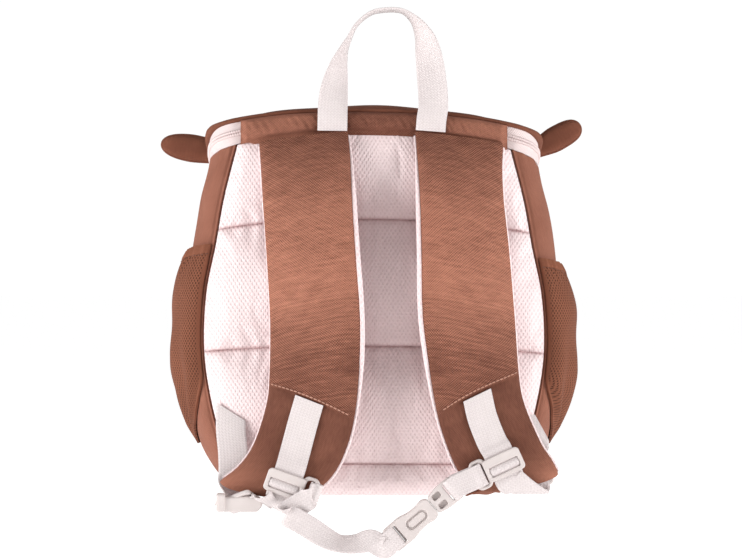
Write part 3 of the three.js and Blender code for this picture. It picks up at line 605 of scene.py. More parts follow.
class Finish:
    """A material made of nodes"""

    def __init__(self, name):
        self.material = bpy.data.materials.new(name)
        self.material.use_nodes = True
        self.tree = self.material.node_tree
        self.shader = self.tree.nodes["Principled BSDF"]

    def node(self, kind, settings=None, sockets=None, output=0):
        """One output of a new node, with its settings and the values or links of its sockets"""
        made = self.tree.nodes.new(kind)
        for name, value in (settings or {}).items():
            setattr(made, name, value)
        for name, value in (sockets or {}).items():
            if isinstance(value, Value):
                self.tree.links.new(value.socket, made.inputs[name])
            else:
                made.inputs[name].default_value = value
        return Value(self, made.outputs[output])

    def weave(self):
        """Millimetres across and along the cloth"""
        place = self.node("ShaderNodeUVMap", {"uv_map": "weave"})
        across = self.node("ShaderNodeSeparateXYZ", None, {0: place})
        return across, across.other(1)

    def noise(self, u, v, across, along, detail=2.0, w=0.0):
        """Noise from 0 to 1 whose grains have the given sizes across and along"""
        place = self.node("ShaderNodeCombineXYZ", None, {0: u / across, 1: v / along, 2: w})
        return self.node("ShaderNodeTexNoise", None, {"Vector": place, "Scale": 1.0, "Detail": detail})

    def step(self, value, low, high):
        """From 0 to 1 while a value goes from low to high"""
        settings = {"interpolation_type": "SMOOTHSTEP"}
        return self.node("ShaderNodeMapRange", settings, {"Value": value, "From Min": low, "From Max": high})

    def mask(self, name):
        """A mask that was kept with the points"""
        return self.node("ShaderNodeAttribute", {"attribute_name": name}, None, "Fac")

    def mix(self, share, first, second):
        """A colour between two others"""
        return self.node("ShaderNodeMix", {"data_type": "RGBA"}, {0: share, 6: first, 7: second}, 2)

    def surface(self, colour, roughness, height=None, depth=0.1, strength=1.0, **steady):
        """Links what changes over the surface and sets what doesn't; depth is the height's reach in mm"""
        for name, value in (("Base Color", colour), ("Roughness", roughness)):
            if isinstance(value, Value):
                self.tree.links.new(value.socket, self.shader.inputs[name])
            else:
                self.shader.inputs[name].default_value = value
        if height is not None:
            sockets = {"Strength": strength, "Distance": depth * MM, "Height": height}
            raised = self.node("ShaderNodeBump", None, sockets)
            self.tree.links.new(raised.socket, self.shader.inputs["Normal"])
        for name, value in steady.items():
            self.shader.inputs[name.replace("_", " ").title().replace("Ior", "IOR")].default_value = value
        return self.material


def colour(red, green, blue):
    """A linear colour from screen values of 0 to 255"""
    def linear(number):
        share = number / 255
        return share / 12.92 if share <= 0.04045 else ((share + 0.055) / 1.055) ** 2.4
    return (linear(red), linear(green), linear(blue), 1.0)


def brown_cloth(name, dark, light, thread=1.05):
    """Plain woven polyester, coarser and rippled where one mask is set; the other mask paints light and shade
    into its colour
    """
    f = Finish(name)
    u, v = f.weave()
    weave = u.wave(thread) * v.wave(thread)
    rippled = f.mask("rippled")
    waver = f.noise(u, v, 45.0, 40.0, 1.0, 5.0) * 8.0 + f.noise(u, v, 9.0, 7.0, 1.0, 8.0) * 0.9
    lower = f.step(v, 60.0, 130.0)
    twill = (u * 0.7 - v + waver).wave(3.2) * (1 - lower)
    dots = (u + waver * 0.3).wave(1.75) * (v + waver).wave(1.6)
    lines = (v + waver * 0.25).wave(3.0) * lower
    ripples = f.noise(u, v + waver, 11.0, 1.9, 2.0, 2.0) - 0.5
    slubs = f.noise(u, v, 1.2, 6.0, 1.0, 7.0) - 0.5
    cloudy = f.noise(u, v, 30.0, 24.0, 2.0, 3.0)
    bands = f.noise(u, v, 45.0, 7.0, 2.0, 1.0) - 0.5
    # The second mask paints light and shade into the colour: paler where the cloth is painted as lit.
    share = 0.3 * cloudy - 0.04 + weave * 0.12 + slubs * 0.2 + f.mask("faded") * 0.46
    share = share + rippled * (lines * 0.06 + twill * 0.06 + dots * 0.46 + ripples * 0.6 + bands * 0.28)
    height = weave * 0.5 + rippled * (lines * 0.2 + twill * 0.2 + dots * 0.6 + ripples) + slubs * 0.4
    return f.surface(f.mix(share, dark, light), 0.85 + slubs * 0.12, height, 0.18, specular_ior_level=0.25)


def brown_net(name, dark, light):
    """Knitted net with rows of small holes"""
    f = Finish(name)
    u, v = f.weave()
    lattice = u.wave(2.3, "COSINE") * v.wave(3.4, "COSINE")
    holes = f.step(lattice, 0.05, 0.75) * (1 - f.mask("bound"))
    cloudy = f.noise(u, v, 30.0, 40.0)
    grain = f.noise(u, v, 0.9, 0.9, 2.0, 5.0)
    share = (1 - holes) * (0.35 + 0.4 * cloudy + 0.4 * grain)
    height = (1 - holes) + grain * 0.3
    return f.surface(f.mix(share, dark, light), 0.85, height, 0.35, specular_ior_level=0.25)


def spacer_mesh(name, dark, light):
    """Thick knitted mesh with dimples in offset rows, dark along seam lines and painted with shade where that
    mask is set
    """
    f = Finish(name)
    u, v = f.weave()
    drift = (f.noise(u, v, 26.0, 26.0, 1.0) - 0.5) * 1.6
    lattice = (u + drift).wave(2.9, "COSINE") * (v + drift).wave(4.5, "COSINE")
    dimple = f.step(lattice, -0.1, 0.9)
    yarn = f.noise(u, v, 0.7, 0.5, 2.0, 4.0)
    cloudy = f.noise(u, v, 40.0, 40.0, 2.0, 9.0)
    # The mask pulls the colour to the dark one: seam lines, and painted shade between the straps.
    share = ((1 - dimple * 0.2) * (0.75 + 0.25 * yarn) + 0.12 * cloudy) * (1 - 0.8 * f.mask("darker"))
    height = (1 - dimple) * 0.8 + yarn * 0.25
    return f.surface(f.mix(share, dark, light), 0.9, height, 0.42, specular_ior_level=0.2)


def pale_webbing(name, dark, light):
    """Ribbed webbing: long ribs crossed by close picks"""
    f = Finish(name)
    u, v = f.weave()
    rib = u.wave(2.2, "COSINE")
    pick = (v + u.wave(2.2) * 0.5).wave(1.9)
    grain = f.noise(u, v, 1.2, 1.6, 1.0, 2.0)
    cloudy = f.noise(u, v, 14.0, 30.0, 2.0, 6.0)
    share = 0.55 + rib * 0.06 + pick * 0.12 + (grain - 0.5) * 0.3 + (cloudy - 0.5) * 0.35
    height = rib * 0.3 + pick * 0.3 + grain * 0.3
    return f.surface(f.mix(share, dark, light), 0.72, height, 0.16, sheen_weight=0.15, sheen_roughness=0.5)


def zip_cloth(name, dark, light):
    """Woven tape of a zip, in fine slanted lines"""
    f = Finish(name)
    u, v = f.weave()
    slant = (u + v).wave(1.4)
    grain = f.noise(u, v, 1.2, 1.2, 2.0)
    share = 0.6 + slant * 0.2 + (grain - 0.5) * 0.4
    return f.surface(f.mix(share, dark, light), 0.75, slant + grain * 0.4, 0.15, sheen_weight=0.1)


def zip_nylon(name, dark, light):
    """Smooth nylon of the zip's coils"""
    f = Finish(name)
    u, v = f.weave()
    grain = f.noise(u, v, 0.6, 0.6)
    return f.surface(f.mix(grain, dark, light), 0.42 + grain * 0.1)


def satin_plastic(name, dark, light):
    """Moulded plastic with a fine sparked grain and paler rubbed places"""
    f = Finish(name)
    place = f.node("ShaderNodeTexCoord", None, None, "Object")
    grain = f.node("ShaderNodeTexNoise", None, {"Vector": place, "Scale": 2600.0, "Detail": 2.0})
    cloudy = f.node("ShaderNodeTexNoise", None, {"Vector": place, "Scale": 90.0, "Detail": 3.0})
    share = 0.35 + 0.5 * cloudy + (grain - 0.5) * 0.3
    shine = 0.4 + (cloudy - 0.5) * 0.16 + (grain - 0.5) * 0.1
    return f.surface(f.mix(share, dark, light), shine, grain, 0.04, 0.6)


def sewing_thread(name, dark, light):
    """Twisted thread"""
    f = Finish(name)
    u, v = f.weave()
    twist = (v * 2.2 + u).wave(1.0)
    return f.surface(f.mix(0.5 + twist * 0.4, dark, light), 0.6, twist, 0.1)


CLOTH = brown_cloth("brown_cloth", colour(88, 49, 36), colour(194, 130, 106))
# The wall's cloth is the smooth cloth painted lighter, for the light that falls on the wall.
WALL_CLOTH_PAINTED_LIGHTER = brown_cloth("brown_wall_cloth_painted_lighter", colour(130, 81, 64), colour(204, 140, 117), 0.8)
SMOOTH_CLOTH = brown_cloth("brown_smooth_cloth", colour(108, 63, 46), colour(176, 110, 87), 0.8)
NET = brown_net("brown_net", colour(74, 41, 28), colour(138, 84, 62))
MESH = spacer_mesh("pale_spacer_mesh", colour(190, 158, 158), colour(238, 219, 219))
WEBBING = pale_webbing("pale_ribbed_webbing", colour(184, 172, 171), colour(224, 215, 214))
ZIP_TAPE = zip_cloth("pale_zip_tape", colour(206, 184, 182), colour(240, 224, 222))
ZIP_NYLON = zip_nylon("pale_zip_nylon", colour(196, 176, 174), colour(226, 208, 206))
PLASTIC = satin_plastic("pale_satin_plastic", colour(184, 173, 170), colour(212, 202, 199))
BROWN_THREAD = sewing_thread("brown_thread", colour(176, 122, 100), colour(222, 172, 150))
DARK_THREAD = sewing_thread("dark_brown_thread", colour(92, 54, 40), colour(138, 86, 66))


# Surfaces of the bag

def rim_height(x, y):
    """Height of the zip line over a place on the rim"""
    arch = RIM_ARCH * (np.abs(x) / RIM_ARCH_SPAN) ** 2.4
    drop = RIM_FRONT_DROP * (np.maximum(0, y) / LEVELS["front"][-1]) ** 2
    return RIM_HEIGHT - arch - drop - rim_tilt(x, y)


def rim_tilt(x, y):
    """The rim's back hangs a little lower on the right"""
    return RIM_TILT * x * smooth(y, 60, 10)


def strip_height(x):
    """Height of the zip or band over the same place"""
    return STRIP_HEIGHT + STRIP_GROWTH * (x / RIM_ARCH_SPAN) ** 2


def level_size(column, level):
    """A size of the bag at a level between base and rim"""
    return between(LEVELS, "level", column, level)


def wall_plan(turn, level):
    """Place in plan on the wall; turn is -1 at the left back seam, 0 in front, 1 at the right back seam"""
    share = 1 - np.abs(turn)
    back, side, front = (level_size(column, level) for column in ("back", "side", "front"))
    depth, lean = level_size("side_depth", level), level_size("lean", level)
    near = share / SIDE_SHARE * math.pi / 2
    far = np.clip((share - SIDE_SHARE) / (1 - SIDE_SHARE), 0, 1) * math.pi / 2
    x_far = side * np.clip(np.cos(far), 0, 1) ** (2 / SQUARENESS)
    y_far = depth + (front - depth) * np.sin(far) ** (2 / SQUARENESS)
    x = np.where(share < SIDE_SHARE, back + (side - back) * np.sin(near), x_far)
    y = np.where(share < SIDE_SHARE, lean + (depth - lean) * (1 - np.cos(near)), y_far)
    return np.where(turn < 0, -1, 1) * x, y


def wall_slack(turn, level):
    """How far the cloth stands out from the even wall: seam rolls, puckers at rim and foot, slow dents"""
    u, v = turn * HALF_ROUND, level * RIM_HEIGHT
    edge = HALF_ROUND - np.abs(u)
    roll = WALL_ROLL * bump(edge, 2.4, 1.7) - WALL_GROOVE * bump(edge, 7, 2.8)
    foot = FOOT_PUCKERS * np.exp(-v / 20) * np.sin(u / 4.9 + 1.5 * np.sin(u / 23))
    rim = RIM_PUCKERS * np.exp(-(RIM_HEIGHT - v) / 9) * np.sin(u / 3.7 + 2 * np.sin(u / 17))
    dents = WALL_DENTS * sway(u, v, (97, 20, 0.4), (61, 75, 1.9), (140, -35, 0.2))
    inside = smooth(edge, 8, 40) * smooth(v, 5, 45) * smooth(RIM_HEIGHT - v, 4, 30)
    return roll + foot * smooth(edge, 0, 20) + rim + dents * inside


def wall_surface(turn, level, lift=0.0):
    """Points on the cloth of the wall, lifted outwards"""
    x, y = wall_plan(turn, level)
    rim_x, rim_y = wall_plan(turn, 1.0)
    even = np.stack([x, y, level * rim_height(rim_x, rim_y)], axis=-1)
    return even - normals(even) * (wall_slack(turn, level) + lift)[..., None]


def wall_parts():
    """The woven wall, front and sides in one"""
    turns, levels = 221, 101
    front = turns // 2
    turn, level = np.meshgrid(np.linspace(-1, 1, turns), np.linspace(0, 1, levels) ** 1.2)
    outer = wall_surface(turn, level)
    round_way = arc(outer, 1)
    weave = np.stack([round_way - round_way[:, front:front + 1], arc(outer, 0)], axis=-1)
    return [shell(outer, outer + normals(outer) * WALL, weave)]


BASE_MIDDLE = np.array([0, 55.0])
BASE_BACK = 17.0
BASE_SAG = 0.9
BASE_LOOPS = np.array([1, 0.985, 0.95, 0.88, 0.75, 0.55, 0.3])


def base_parts():
    """The flat bottom inside the wall's foot, sagging a little in its middle"""
    x, y = wall_plan(np.linspace(-1, 1, 121), 0.0)
    rim = np.stack([x * 0.973, np.maximum(BASE_BACK, 52 + (y - 52) * 0.958)], axis=-1)
    share = BASE_LOOPS[:, None]
    plan = BASE_MIDDLE + (rim[None] - BASE_MIDDLE) * share[..., None]
    sag = -BASE_SAG * (1 - share**2) + np.zeros(plan.shape[:2])
    low = np.concatenate([plan, sag[..., None]], axis=-1)
    low_middle = np.append(BASE_MIDDLE, -BASE_SAG)
    up = np.array([0, 0, WALL])
    return lens(low + up, low_middle + up, low, low_middle, plan, BASE_MIDDLE)


# Fullness of the back's pads from base to rim
PAD_SLOW = table("level full", [
    [0, 0.5],
    [0.045, 0.8],
    [0.09, 0.7],
    [0.25, 1],
    [0.413, 0.8],
    [0.59, 1],
    [0.76, 0.8],
    [0.88, 1],
    [1, 0.6],
])
PAD_RISES = [(0.42, 7), (0.58, 1.6)]  # parts of a pad's rise, each with its reach from the seam
PAD_EDGE_REACH = 4.5


def seam_distance(level):
    """Millimetres to the nearest quilt seam"""
    return np.min(np.abs(level[..., None] - QUILT_SEAMS), axis=-1) * RIM_HEIGHT


def pad_swell(share, level, width):
    """Rise of the quilted pads: nothing at a seam or an edge, one well away from them"""
    seam, side = seam_distance(level), (1 - np.abs(share)) * width
    slow = np.interp(level, PAD_SLOW["level"], PAD_SLOW["full"])
    from_seam = sum(part * (1 - np.exp(-seam / reach)) for part, reach in PAD_RISES)
    return slow * from_seam * (1 - np.exp(-side / PAD_EDGE_REACH))


def panel_surface(share, level, inset, puff):
    """Points on the back panel; puff is the height of its pads over their seams"""
    foot = 3 * (1 - smooth(level, 0, 0.07))
    width = level_size("back", level) - inset - foot
    z = level * (rim_height(share * LEVELS["back"][-1], 0) - 0.2)
    x = share * width
    seam = seam_distance(level)
    near_seam = np.exp(-seam / 4.5) * smooth(seam, 0, 2) * smooth(level, 0.97, 0.92)
    gathers = PAD_GATHERS * near_seam * np.sin(x / 1.9 + 2.2 * np.sin(x / 11))
    dents = PAD_DENTS * sway(x, z, (41, 25, 0.3), (29, -50, 1.7), (63, 80, 0.9)) * smooth(seam, 0, 12)
    wrinkles = (gathers + dents) * smooth(1 - np.abs(share), 0, 0.06) * (puff > 0)
    rise = puff * pad_swell(share, level, width) + wrinkles
    return np.stack([x, level_size("lean", level) - PANEL_OUT - rise, z], axis=-1)


def panel_parts():
    """The padded back, settled between its quilt seams"""
    shares = np.linspace(-1, 1, 171)
    steps = 0.5 - 0.5 * np.cos(np.pi * np.linspace(0, 1, 40, endpoint=False))
    pads = zip(QUILT_SEAMS[:-1], QUILT_SEAMS[1:])
    levels = np.concatenate([low + (high - low) * steps for low, high in pads] + [[1.0]])
    share, level = np.meshgrid(np.sign(shares) * np.abs(shares) ** 0.85, levels)
    outer = panel_surface(share, level, 0.9, PANEL_PUFF)
    inner = panel_surface(share, level, 3.0, 0.0) + [0, PANEL_THICK, 0]
    held = (seam_distance(level) < 0.4) | (np.abs(share) > 0.995)
    outer = settled(outer, held, np.array([0, -1.0, 0]), 0.012, 1.0)
    inside = (level > 0.02) & (level < 0.98)
    # Dark lines along the quilt seams, partly painted shade of their grooves, and painted shade of the straps
    # down the middle of the back.
    seams = np.where(inside, bump(seam_distance(level), 0, 1.1), 0)
    painted_strap_shade = 0.32 * bump(outer[..., 0], 11, 34) * smooth(level, 0.9, 0.78) * smooth(level, 0, 0.1)
    weave = np.stack([outer[..., 0], outer[..., 2]], axis=-1)
    return [shell(outer, inner, weave, darker=np.maximum(seams, painted_strap_shade))]


LID_STEPS = (90, 230)


def lid_edge(along, round_way):
    """The lid's edge in plan, once round: along the back, then by the right side and the front to the left"""
    back = level_size("back", 1.0)
    straight = np.linspace(-back, back, along, endpoint=False)
    x, y = wall_plan(np.linspace(1, -1, round_way, endpoint=False), 1.0)
    return np.concatenate([straight, x]), np.concatenate([np.zeros(along), y])


def lid_surface(edge_x, edge_y, share, grow):
    """Points on the lid; share is 1 at its edge and 0 at its middle, grow the step off the even lid"""
    x = edge_x * share
    y = LID_MIDDLE + (edge_y - LID_MIDDLE) * share
    low = rim_height(edge_x, edge_y) + strip_height(edge_x) + 3 * GAP
    crown = CROWN_HEIGHT - CROWN_BOW * x**2 - CROWN_SLOPE * np.maximum(0, y) ** 2 - rim_tilt(x, y)
    z = low + (crown - low) * (1 - share**5)
    out = unit(np.stack([edge_x, edge_y - LID_MIDDLE], axis=-1)) * (share**4)[..., None]
    off = unit(np.concatenate([out, (1.05 - share**4)[..., None]], axis=-1))
    return np.stack([x, y, z], axis=-1) + off * np.asarray(grow)[..., None]


def lid_parts():
    """The domed lid, puckered along its edge"""
    edge_x, edge_y = lid_edge(*LID_STEPS)
    shares = 1 - np.linspace(0, 0.97, 46) ** 1.5
    share = np.repeat(shares[:, None], len(edge_x), axis=1)
    spread_x, spread_y = np.broadcast_to(edge_x, share.shape), np.broadcast_to(edge_y, share.shape)
    x, y = spread_x * share, spread_y * share
    dents = LID_DENTS * sway(x, y, (71, 15, 0.3), (93, 70, 1.1), (54, -40, 2.2)) * smooth(share, 1, 0.8)
    close_waves = sway(x, y, (7.3, 10, 0), (8.9, 95, 1), (11, 50, 2))
    puckers = LID_PUCKERS * smooth(share, 0.86, 0.98) * close_waves
    top = lid_surface(spread_x, spread_y, share, dents + puckers)
    under = lid_surface(spread_x, spread_y, share, np.full(share.shape, -WALL))
    weave = top[..., :2]
    middle = top[-1].mean(axis=0)
    return lens(top, middle, under, under[-1].mean(axis=0), weave, middle[:2])


def lid_piping():
    """The rolled edge between lid and zip"""
    edge_x, edge_y = lid_edge(*LID_STEPS)
    path = lid_surface(edge_x, edge_y, np.ones(len(edge_x)), np.full(len(edge_x), 0.3))
    radius = (PIPING_BACK + (PIPING_FRONT - PIPING_BACK) * smooth(edge_y, 2, 25))[:, None, None]
    return [strand(path + [0, 0, 0.2], np.array([0, 0, 1.0]), radius, 12, True)]


def rim_plan(turn):
    """Place in plan on the rim; turns beyond 1 run back along the top of the back panel"""
    x, y = wall_plan(np.clip(turn, -1, 1), 1.0)
    return x - np.sign(turn) * np.maximum(0, np.abs(turn) - 1) * HALF_ROUND, y


def rim_strip(turns, ups, off):
    """Points on a strip that stands on the rim, and the directions off it; ups are shares of its height"""
    turn, up = np.meshgrid(turns, ups)
    x, y = rim_plan(turn)
    ahead_x, ahead_y = rim_plan(turn + 0.004)
    behind_x, behind_y = rim_plan(turn - 0.004)
    out = unit(np.stack([behind_y - ahead_y, ahead_x - behind_x], axis=-1))
    z = rim_height(x, y) + GAP + up * (strip_height(x) - GAP)
    plan = np.stack([x, y], axis=-1) + out * np.asarray(off)[..., None]
    level_out = np.concatenate([out, np.zeros((*out.shape[:2], 1))], axis=-1)
    return np.concatenate([plan, z[..., None]], axis=-1), level_out


def zip_tape_parts():
    """The tape that stands on the rim from one back corner round the front to the other"""
    ups, turns = np.linspace(0, 1, 17), np.linspace(-1.03, 1.03, 251)
    bulge = 0.35 * np.sin(np.pi * ups)[:, None]
    outer, _ = rim_strip(turns, ups, np.broadcast_to(bulge, (len(ups), len(turns))))
    inner, _ = rim_strip(turns, ups, np.full((len(ups), len(turns)), -ZIP_THICK))
    weave = lengths(outer)
    return [shell(outer, inner, weave)]


COIL_PITCH = 1.6
COIL_RADIUS = 1.05
COIL_STEPS = 1600


def zip_coil_parts():
    """Two coils of nylon that mesh in the middle of the tape, each turn a small swelling"""
    parts = []
    for row in (-1, 1):
        places = np.linspace(-1.015, 1.015, COIL_STEPS)
        line, out = rim_strip(places, np.array([0.5]), np.full((1, COIL_STEPS), 0.5))
        place = arc(line, 1)[0]
        turns = np.cos(2 * math.pi * (place / COIL_PITCH + 0.25 * row))
        radius = COIL_RADIUS * (1 + 0.16 * turns)[:, None, None]
        parts.append(strand(line[0] + [0, 0, row * COIL_RADIUS], out[0], radius, 8))
    return parts


# How far the band stands out over its height
BAND_PROFILE = table("up out", [
    [0, 3.6],
    [0.17, 6.6],
    [0.5, 7.6],
    [0.83, 6.6],
    [1, 3.6],
])


def band_surface(x, up, inwards):
    """Points on the band; its ends close on the zip's tape"""
    open_way = smooth(BAND_HALF - np.abs(x), 0, 5)
    full = np.interp(up, BAND_PROFILE["up"], BAND_PROFILE["out"])
    puffed = BAND_END + (full - BAND_END) * open_way
    inwards = inwards * (0.5 + 0.5 * open_way)
    height = strip_height(x) - GAP
    waves = sway(x, up * 14, (4.3, 32, 0.2), (6.1, 21, 1.4), (13, 12, 0.7))
    folds = BAND_FOLDS * np.sin(np.pi * np.clip(up, 0, 1)) * waves
    hems = BAND_HEMS * (bump(up, 0.06, 0.06) + bump(up, 0.94, 0.06))
    return np.stack([x, inwards - puffed - folds - hems, rim_height(x, 0) + GAP + up * height], axis=-1)


def band_parts():
    """The gathered strip between the back and the lid"""
    x, share = np.meshgrid(np.linspace(-BAND_HALF, BAND_HALF, 361), np.linspace(0, 1, 29))
    low = -0.06 - 0.2 * smooth(x, -86, -78)
    up = low + (1 - low) * share
    outer = band_surface(x, up, 0.0)
    inner = band_surface(x, up, BAND_THICK)
    weave = np.stack([x, arc(outer, 0)], axis=-1)
    # Painted light and shade: the band is paler towards its ends and shaded in the middle, between the
    # handle's legs.
    faded = 0.05 + 0.6 * smooth(np.abs(x), 28, 54)
    return [shell(outer, inner, weave, rippled=np.full(x.shape, 0.3), faded=faded)]


# Harness

def strap_section(hand, along):
    """Outer edge, way across and down, face direction, fullness and narrowing at places along a strap"""
    rows = STRAPS[hand]

    def edge(side, at):
        return np.stack([between(rows, "place", f"{side}_{axis}", at) for axis in "xyz"], axis=-1)

    ahead, behind = np.minimum(STRAP_END, along + 0.05), np.maximum(0, along - 0.05)
    down = unit(edge("outer", ahead) + edge("inner", ahead) - edge("outer", behind) - edge("inner", behind))
    outer = edge("outer", along)
    across = edge("inner", along) - outer
    face = unit(np.cross(across, down))
    face = np.where(face[..., 1:2] > 0, -face, face)
    taper = np.minimum(1, 0.45 + along * 0.6)
    close = np.maximum(0, (along - (STRAP_END - STRAP_CLOSE)) / STRAP_CLOSE)
    return outer, across, down, face, taper * (1 - 0.4 * close**2), 0.04 * close**2


def strap_surface(hand, along, share, rise):
    """Points on a strap; rise is the height over its mid-plane for a full strap"""
    outer, across, _, face, full, narrow = strap_section(hand, along)
    inset = narrow + share * (1 - 2 * narrow)
    return outer + across * inset[..., None] + face * (rise * full)[..., None]


def strap_places(rows, columns):
    """Places over a strap whose lower end is rounded"""
    share, down = np.meshgrid(np.linspace(0, 1, columns), np.linspace(0, 1, rows))
    side = np.abs(2 * share - 1)
    return down * (STRAP_END + 0.1 * (1 - side**2) - 0.18 * side**6), share


def crown(share):
    """Height of a full strap over its width, from 0 at its edges to 1"""
    return (1 - np.abs(2 * share - 1) ** 4) ** 0.45


def seam_place(hand, share):
    """Place along the strap of its slanted seam"""
    outer, inner = STRAP_SEAMS[hand]
    return outer + (inner - outer) * share


def seam_tuck(over, share):
    """Height of the swelling at places over the seam and across the strap"""
    return SEAM_TUCK * bump(over, 0.0, 0.35) * bump(share, 0.5, 0.24)


def strap_cover_parts(hand):
    """The woven face of a strap, settled between its edges and its slanted seam"""
    along, share = strap_places(241, 49)
    over = seam_place(hand, share) - along
    fold = SEAM_FOLD * smooth(over, -0.03, 0.03)
    tucked = seam_tuck(over, share) * smooth(over, -0.02, 0.05)
    waves = STRAP_WAVES * sway(share * 60, along * 27, (9, 80, 0), (13, 97, 1.3), (31, 70, 2.1))
    rise = GAP + (PAD_COVER - GAP + fold + tucked + waves) * crown(share)
    outer = strap_surface(hand, along, share, rise)
    inner = strap_surface(hand, along, share, np.full(along.shape, 0.6 * GAP))
    weave = lengths(outer)
    held = (share < 0.01) | (share > 0.99) | (along < 0.02) | (along > 8.75)
    held = held | (np.abs(over - 0.05) < 0.08) | (over < -0.5)
    outer = settled(outer, held, strap_section(hand, along)[3], 0.01, 0.6)
    rippled = smooth(over, -0.02, 0.04)
    # Painted light and shade on the woven face: dark near the top and low down, pale between. The smooth
    # lower part is paler towards its end and its outer edge.
    faded = rippled * (0.2 + 0.8 * smooth(along, 0, 3.8)) * (1 - 0.9 * smooth(along, 3.3, 5.2))
    faded = faded + (1 - rippled) * smooth(along, 6.7, 8.9) * (1 - 0.75 * share)
    return [shell(outer, inner, weave, rippled=rippled, faded=faded)]


OUTER_EDGES = {"left": 0.9, "right": 1.2}
EDGE_STEPS = 160


def strap_edges(hand, along):
    """Rolled edges of the lining: share across the strap, step outwards, height and radius"""
    full = (0.3 + 0.7 * smooth(along, 0.4, 2.6)) * (1 - 0.5 * smooth(along, 4.8, 6.2))
    even = np.ones_like(full)
    inner = (1.0, full, -0.4, 0.4 + 1.25 * full)
    outer = (0.0, -0.1 * even, -1.8, OUTER_EDGES[hand] * even)
    return [inner, outer]


def strap_lining_parts(hand):
    """The mesh under a strap and its rolled edges"""
    along, share = strap_places(161, 33)
    outer = strap_surface(hand, along, share, -GAP - (PAD_LINING - GAP) * crown(share))
    inner = strap_surface(hand, along, share, np.full(along.shape, -0.6 * GAP))
    weave = lengths(outer)
    parts = [shell(outer, inner, weave)]
    line = np.linspace(0.15, STRAP_END - 0.35, EDGE_STEPS)
    _, across, _, face, _, _ = strap_section(hand, line)
    for share, step, rise, radius in strap_edges(hand, line):
        path = strap_surface(hand, line, np.full(EDGE_STEPS, share), np.full(EDGE_STEPS, rise))
        parts.append(strand(path + unit(across) * step[:, None], face, radius[:, None, None], 12))
    return parts


def strap_thread_parts(hand):
    """A row of stitches along the slanted seam"""
    share = np.linspace(0.03, 0.97, 80)
    over = 0.06
    along = seam_place(hand, share) - over
    face = strap_section(hand, along)[3]
    rise = GAP + (PAD_COVER - GAP + SEAM_FOLD + seam_tuck(over, share)) * crown(share)
    path = strap_surface(hand, along, share, rise)
    return stitches(path, face, pitch=2.9, length=2.3, radius=0.42, lift=0.2)


class Seat:
    """A place for a fitting: a middle with directions side, rise and face"""

    def __init__(self, at, across, up):
        self.at = np.array(at, float)
        self.side = unit(np.array(across, float))
        self.face = unit(np.cross(self.side, up))
        self.rise = np.cross(self.face, self.side)

    def to(self, x, y, z):
        """A point from its distances along side, rise and face"""
        return self.at + self.side * x + self.rise * y + self.face * z


def on_strap(hand, along, share, lift):
    """A point on the cover of a strap, with the strap's directions there"""
    outer, across, down, face, full, _ = strap_section(hand, np.array(along, float))
    return outer + across * share + face * (PAD_COVER * full + lift), unit(across), down, face


def slider_seat(hand):
    """Where a chest slider lies on its strap"""
    seat = SLIDERS[hand]
    at, across, down, face = on_strap(hand, seat["along"], seat["share"], seat["lift"])
    turn = math.radians(seat["turn"])
    rise = -down * math.cos(turn) - np.cross(face, down) * math.sin(turn)
    side = across * INWARDS[hand]
    return Seat(at, side - rise * dot(side, rise), rise)


def lock_seat(hand):
    """Where a ladder lock hangs under its strap"""
    return Seat(LOCKS[hand]["at"], LOCKS[hand]["bars"], LOCKS[hand]["towards"])


def buckle_seat():
    """Where the fastened buckle hangs"""
    along = np.array(BUCKLE_ALONG)
    return Seat(BUCKLE_AT, along, (-along[2], 0, along[0]))


def webbing(rows, width, thick, count, joined=False, slant=(0, 0), ribs=9):
    """Flat webbing along rows of a middle point and the direction of its width; slant slopes its first end"""
    middle = spine([row[0] for row in rows], count, joined)
    along = np.gradient(middle, axis=0)
    if joined:
        along = np.roll(middle, -1, axis=0) - np.roll(middle, 1, axis=0)
    along = unit(along)
    wide = np.array([unit(np.array(row[1], float)) if len(row) == 2 else row[1] for row in rows], float)
    square = np.array([len(row) == 2 for row in rows], float)[:, None]
    wide = np.hstack([wide, square])
    wide = np.vstack([wide, wide[:1]]) if joined else wide
    place = np.linspace(0, len(wide) - 1, count, endpoint=not joined)
    wide = np.stack([np.interp(place, np.arange(len(wide)), column) for column in wide.T], axis=-1)
    across, square = wide[:, :3], wide[:, 3:]
    across = across - along * dot(across, along) * square
    across = across / np.linalg.norm(across, axis=1, keepdims=True) ** square
    up = unit(np.cross(along, across))
    share = np.linspace(-1, 1, 31)
    rounded = 0.5 + 0.5 * (1 - np.abs(share) ** 10) ** 0.5
    height = thick / 2 * rounded * (1 + 0.06 * np.cos(math.pi * ribs * (share + 1)))
    ring_share = np.concatenate([share, share[::-1]])
    ring_height = np.concatenate([height, -height[::-1]])
    points = middle[:, None] + across[:, None] * ring_share[None, :, None] * width / 2
    points = points + up[:, None] * ring_height[None, :, None]
    length = arc(middle[:, None], 0)[:, 0]
    slope = np.where(ring_share < 0, *slant)
    end = slope * width / 2 * ring_share * np.exp(-length / 20)[:, None]
    points = points + along[:, None] * end[..., None]
    if joined:
        length = np.append(length, length[-1] + np.linalg.norm(middle[-1] - middle[0]))
    around = np.append(ring_share, ring_share[0]) * width / 2
    return [rings(points, np.stack(np.meshgrid(around, length), axis=-1), joined)]


def handle_rows():
    """The handle's middle line with the direction of its width"""
    turns = [math.radians(turn) for _, turn in HANDLE]
    return [(at, (math.cos(turn), math.sin(turn), 0)) for (at, _), turn in zip(HANDLE, turns)]


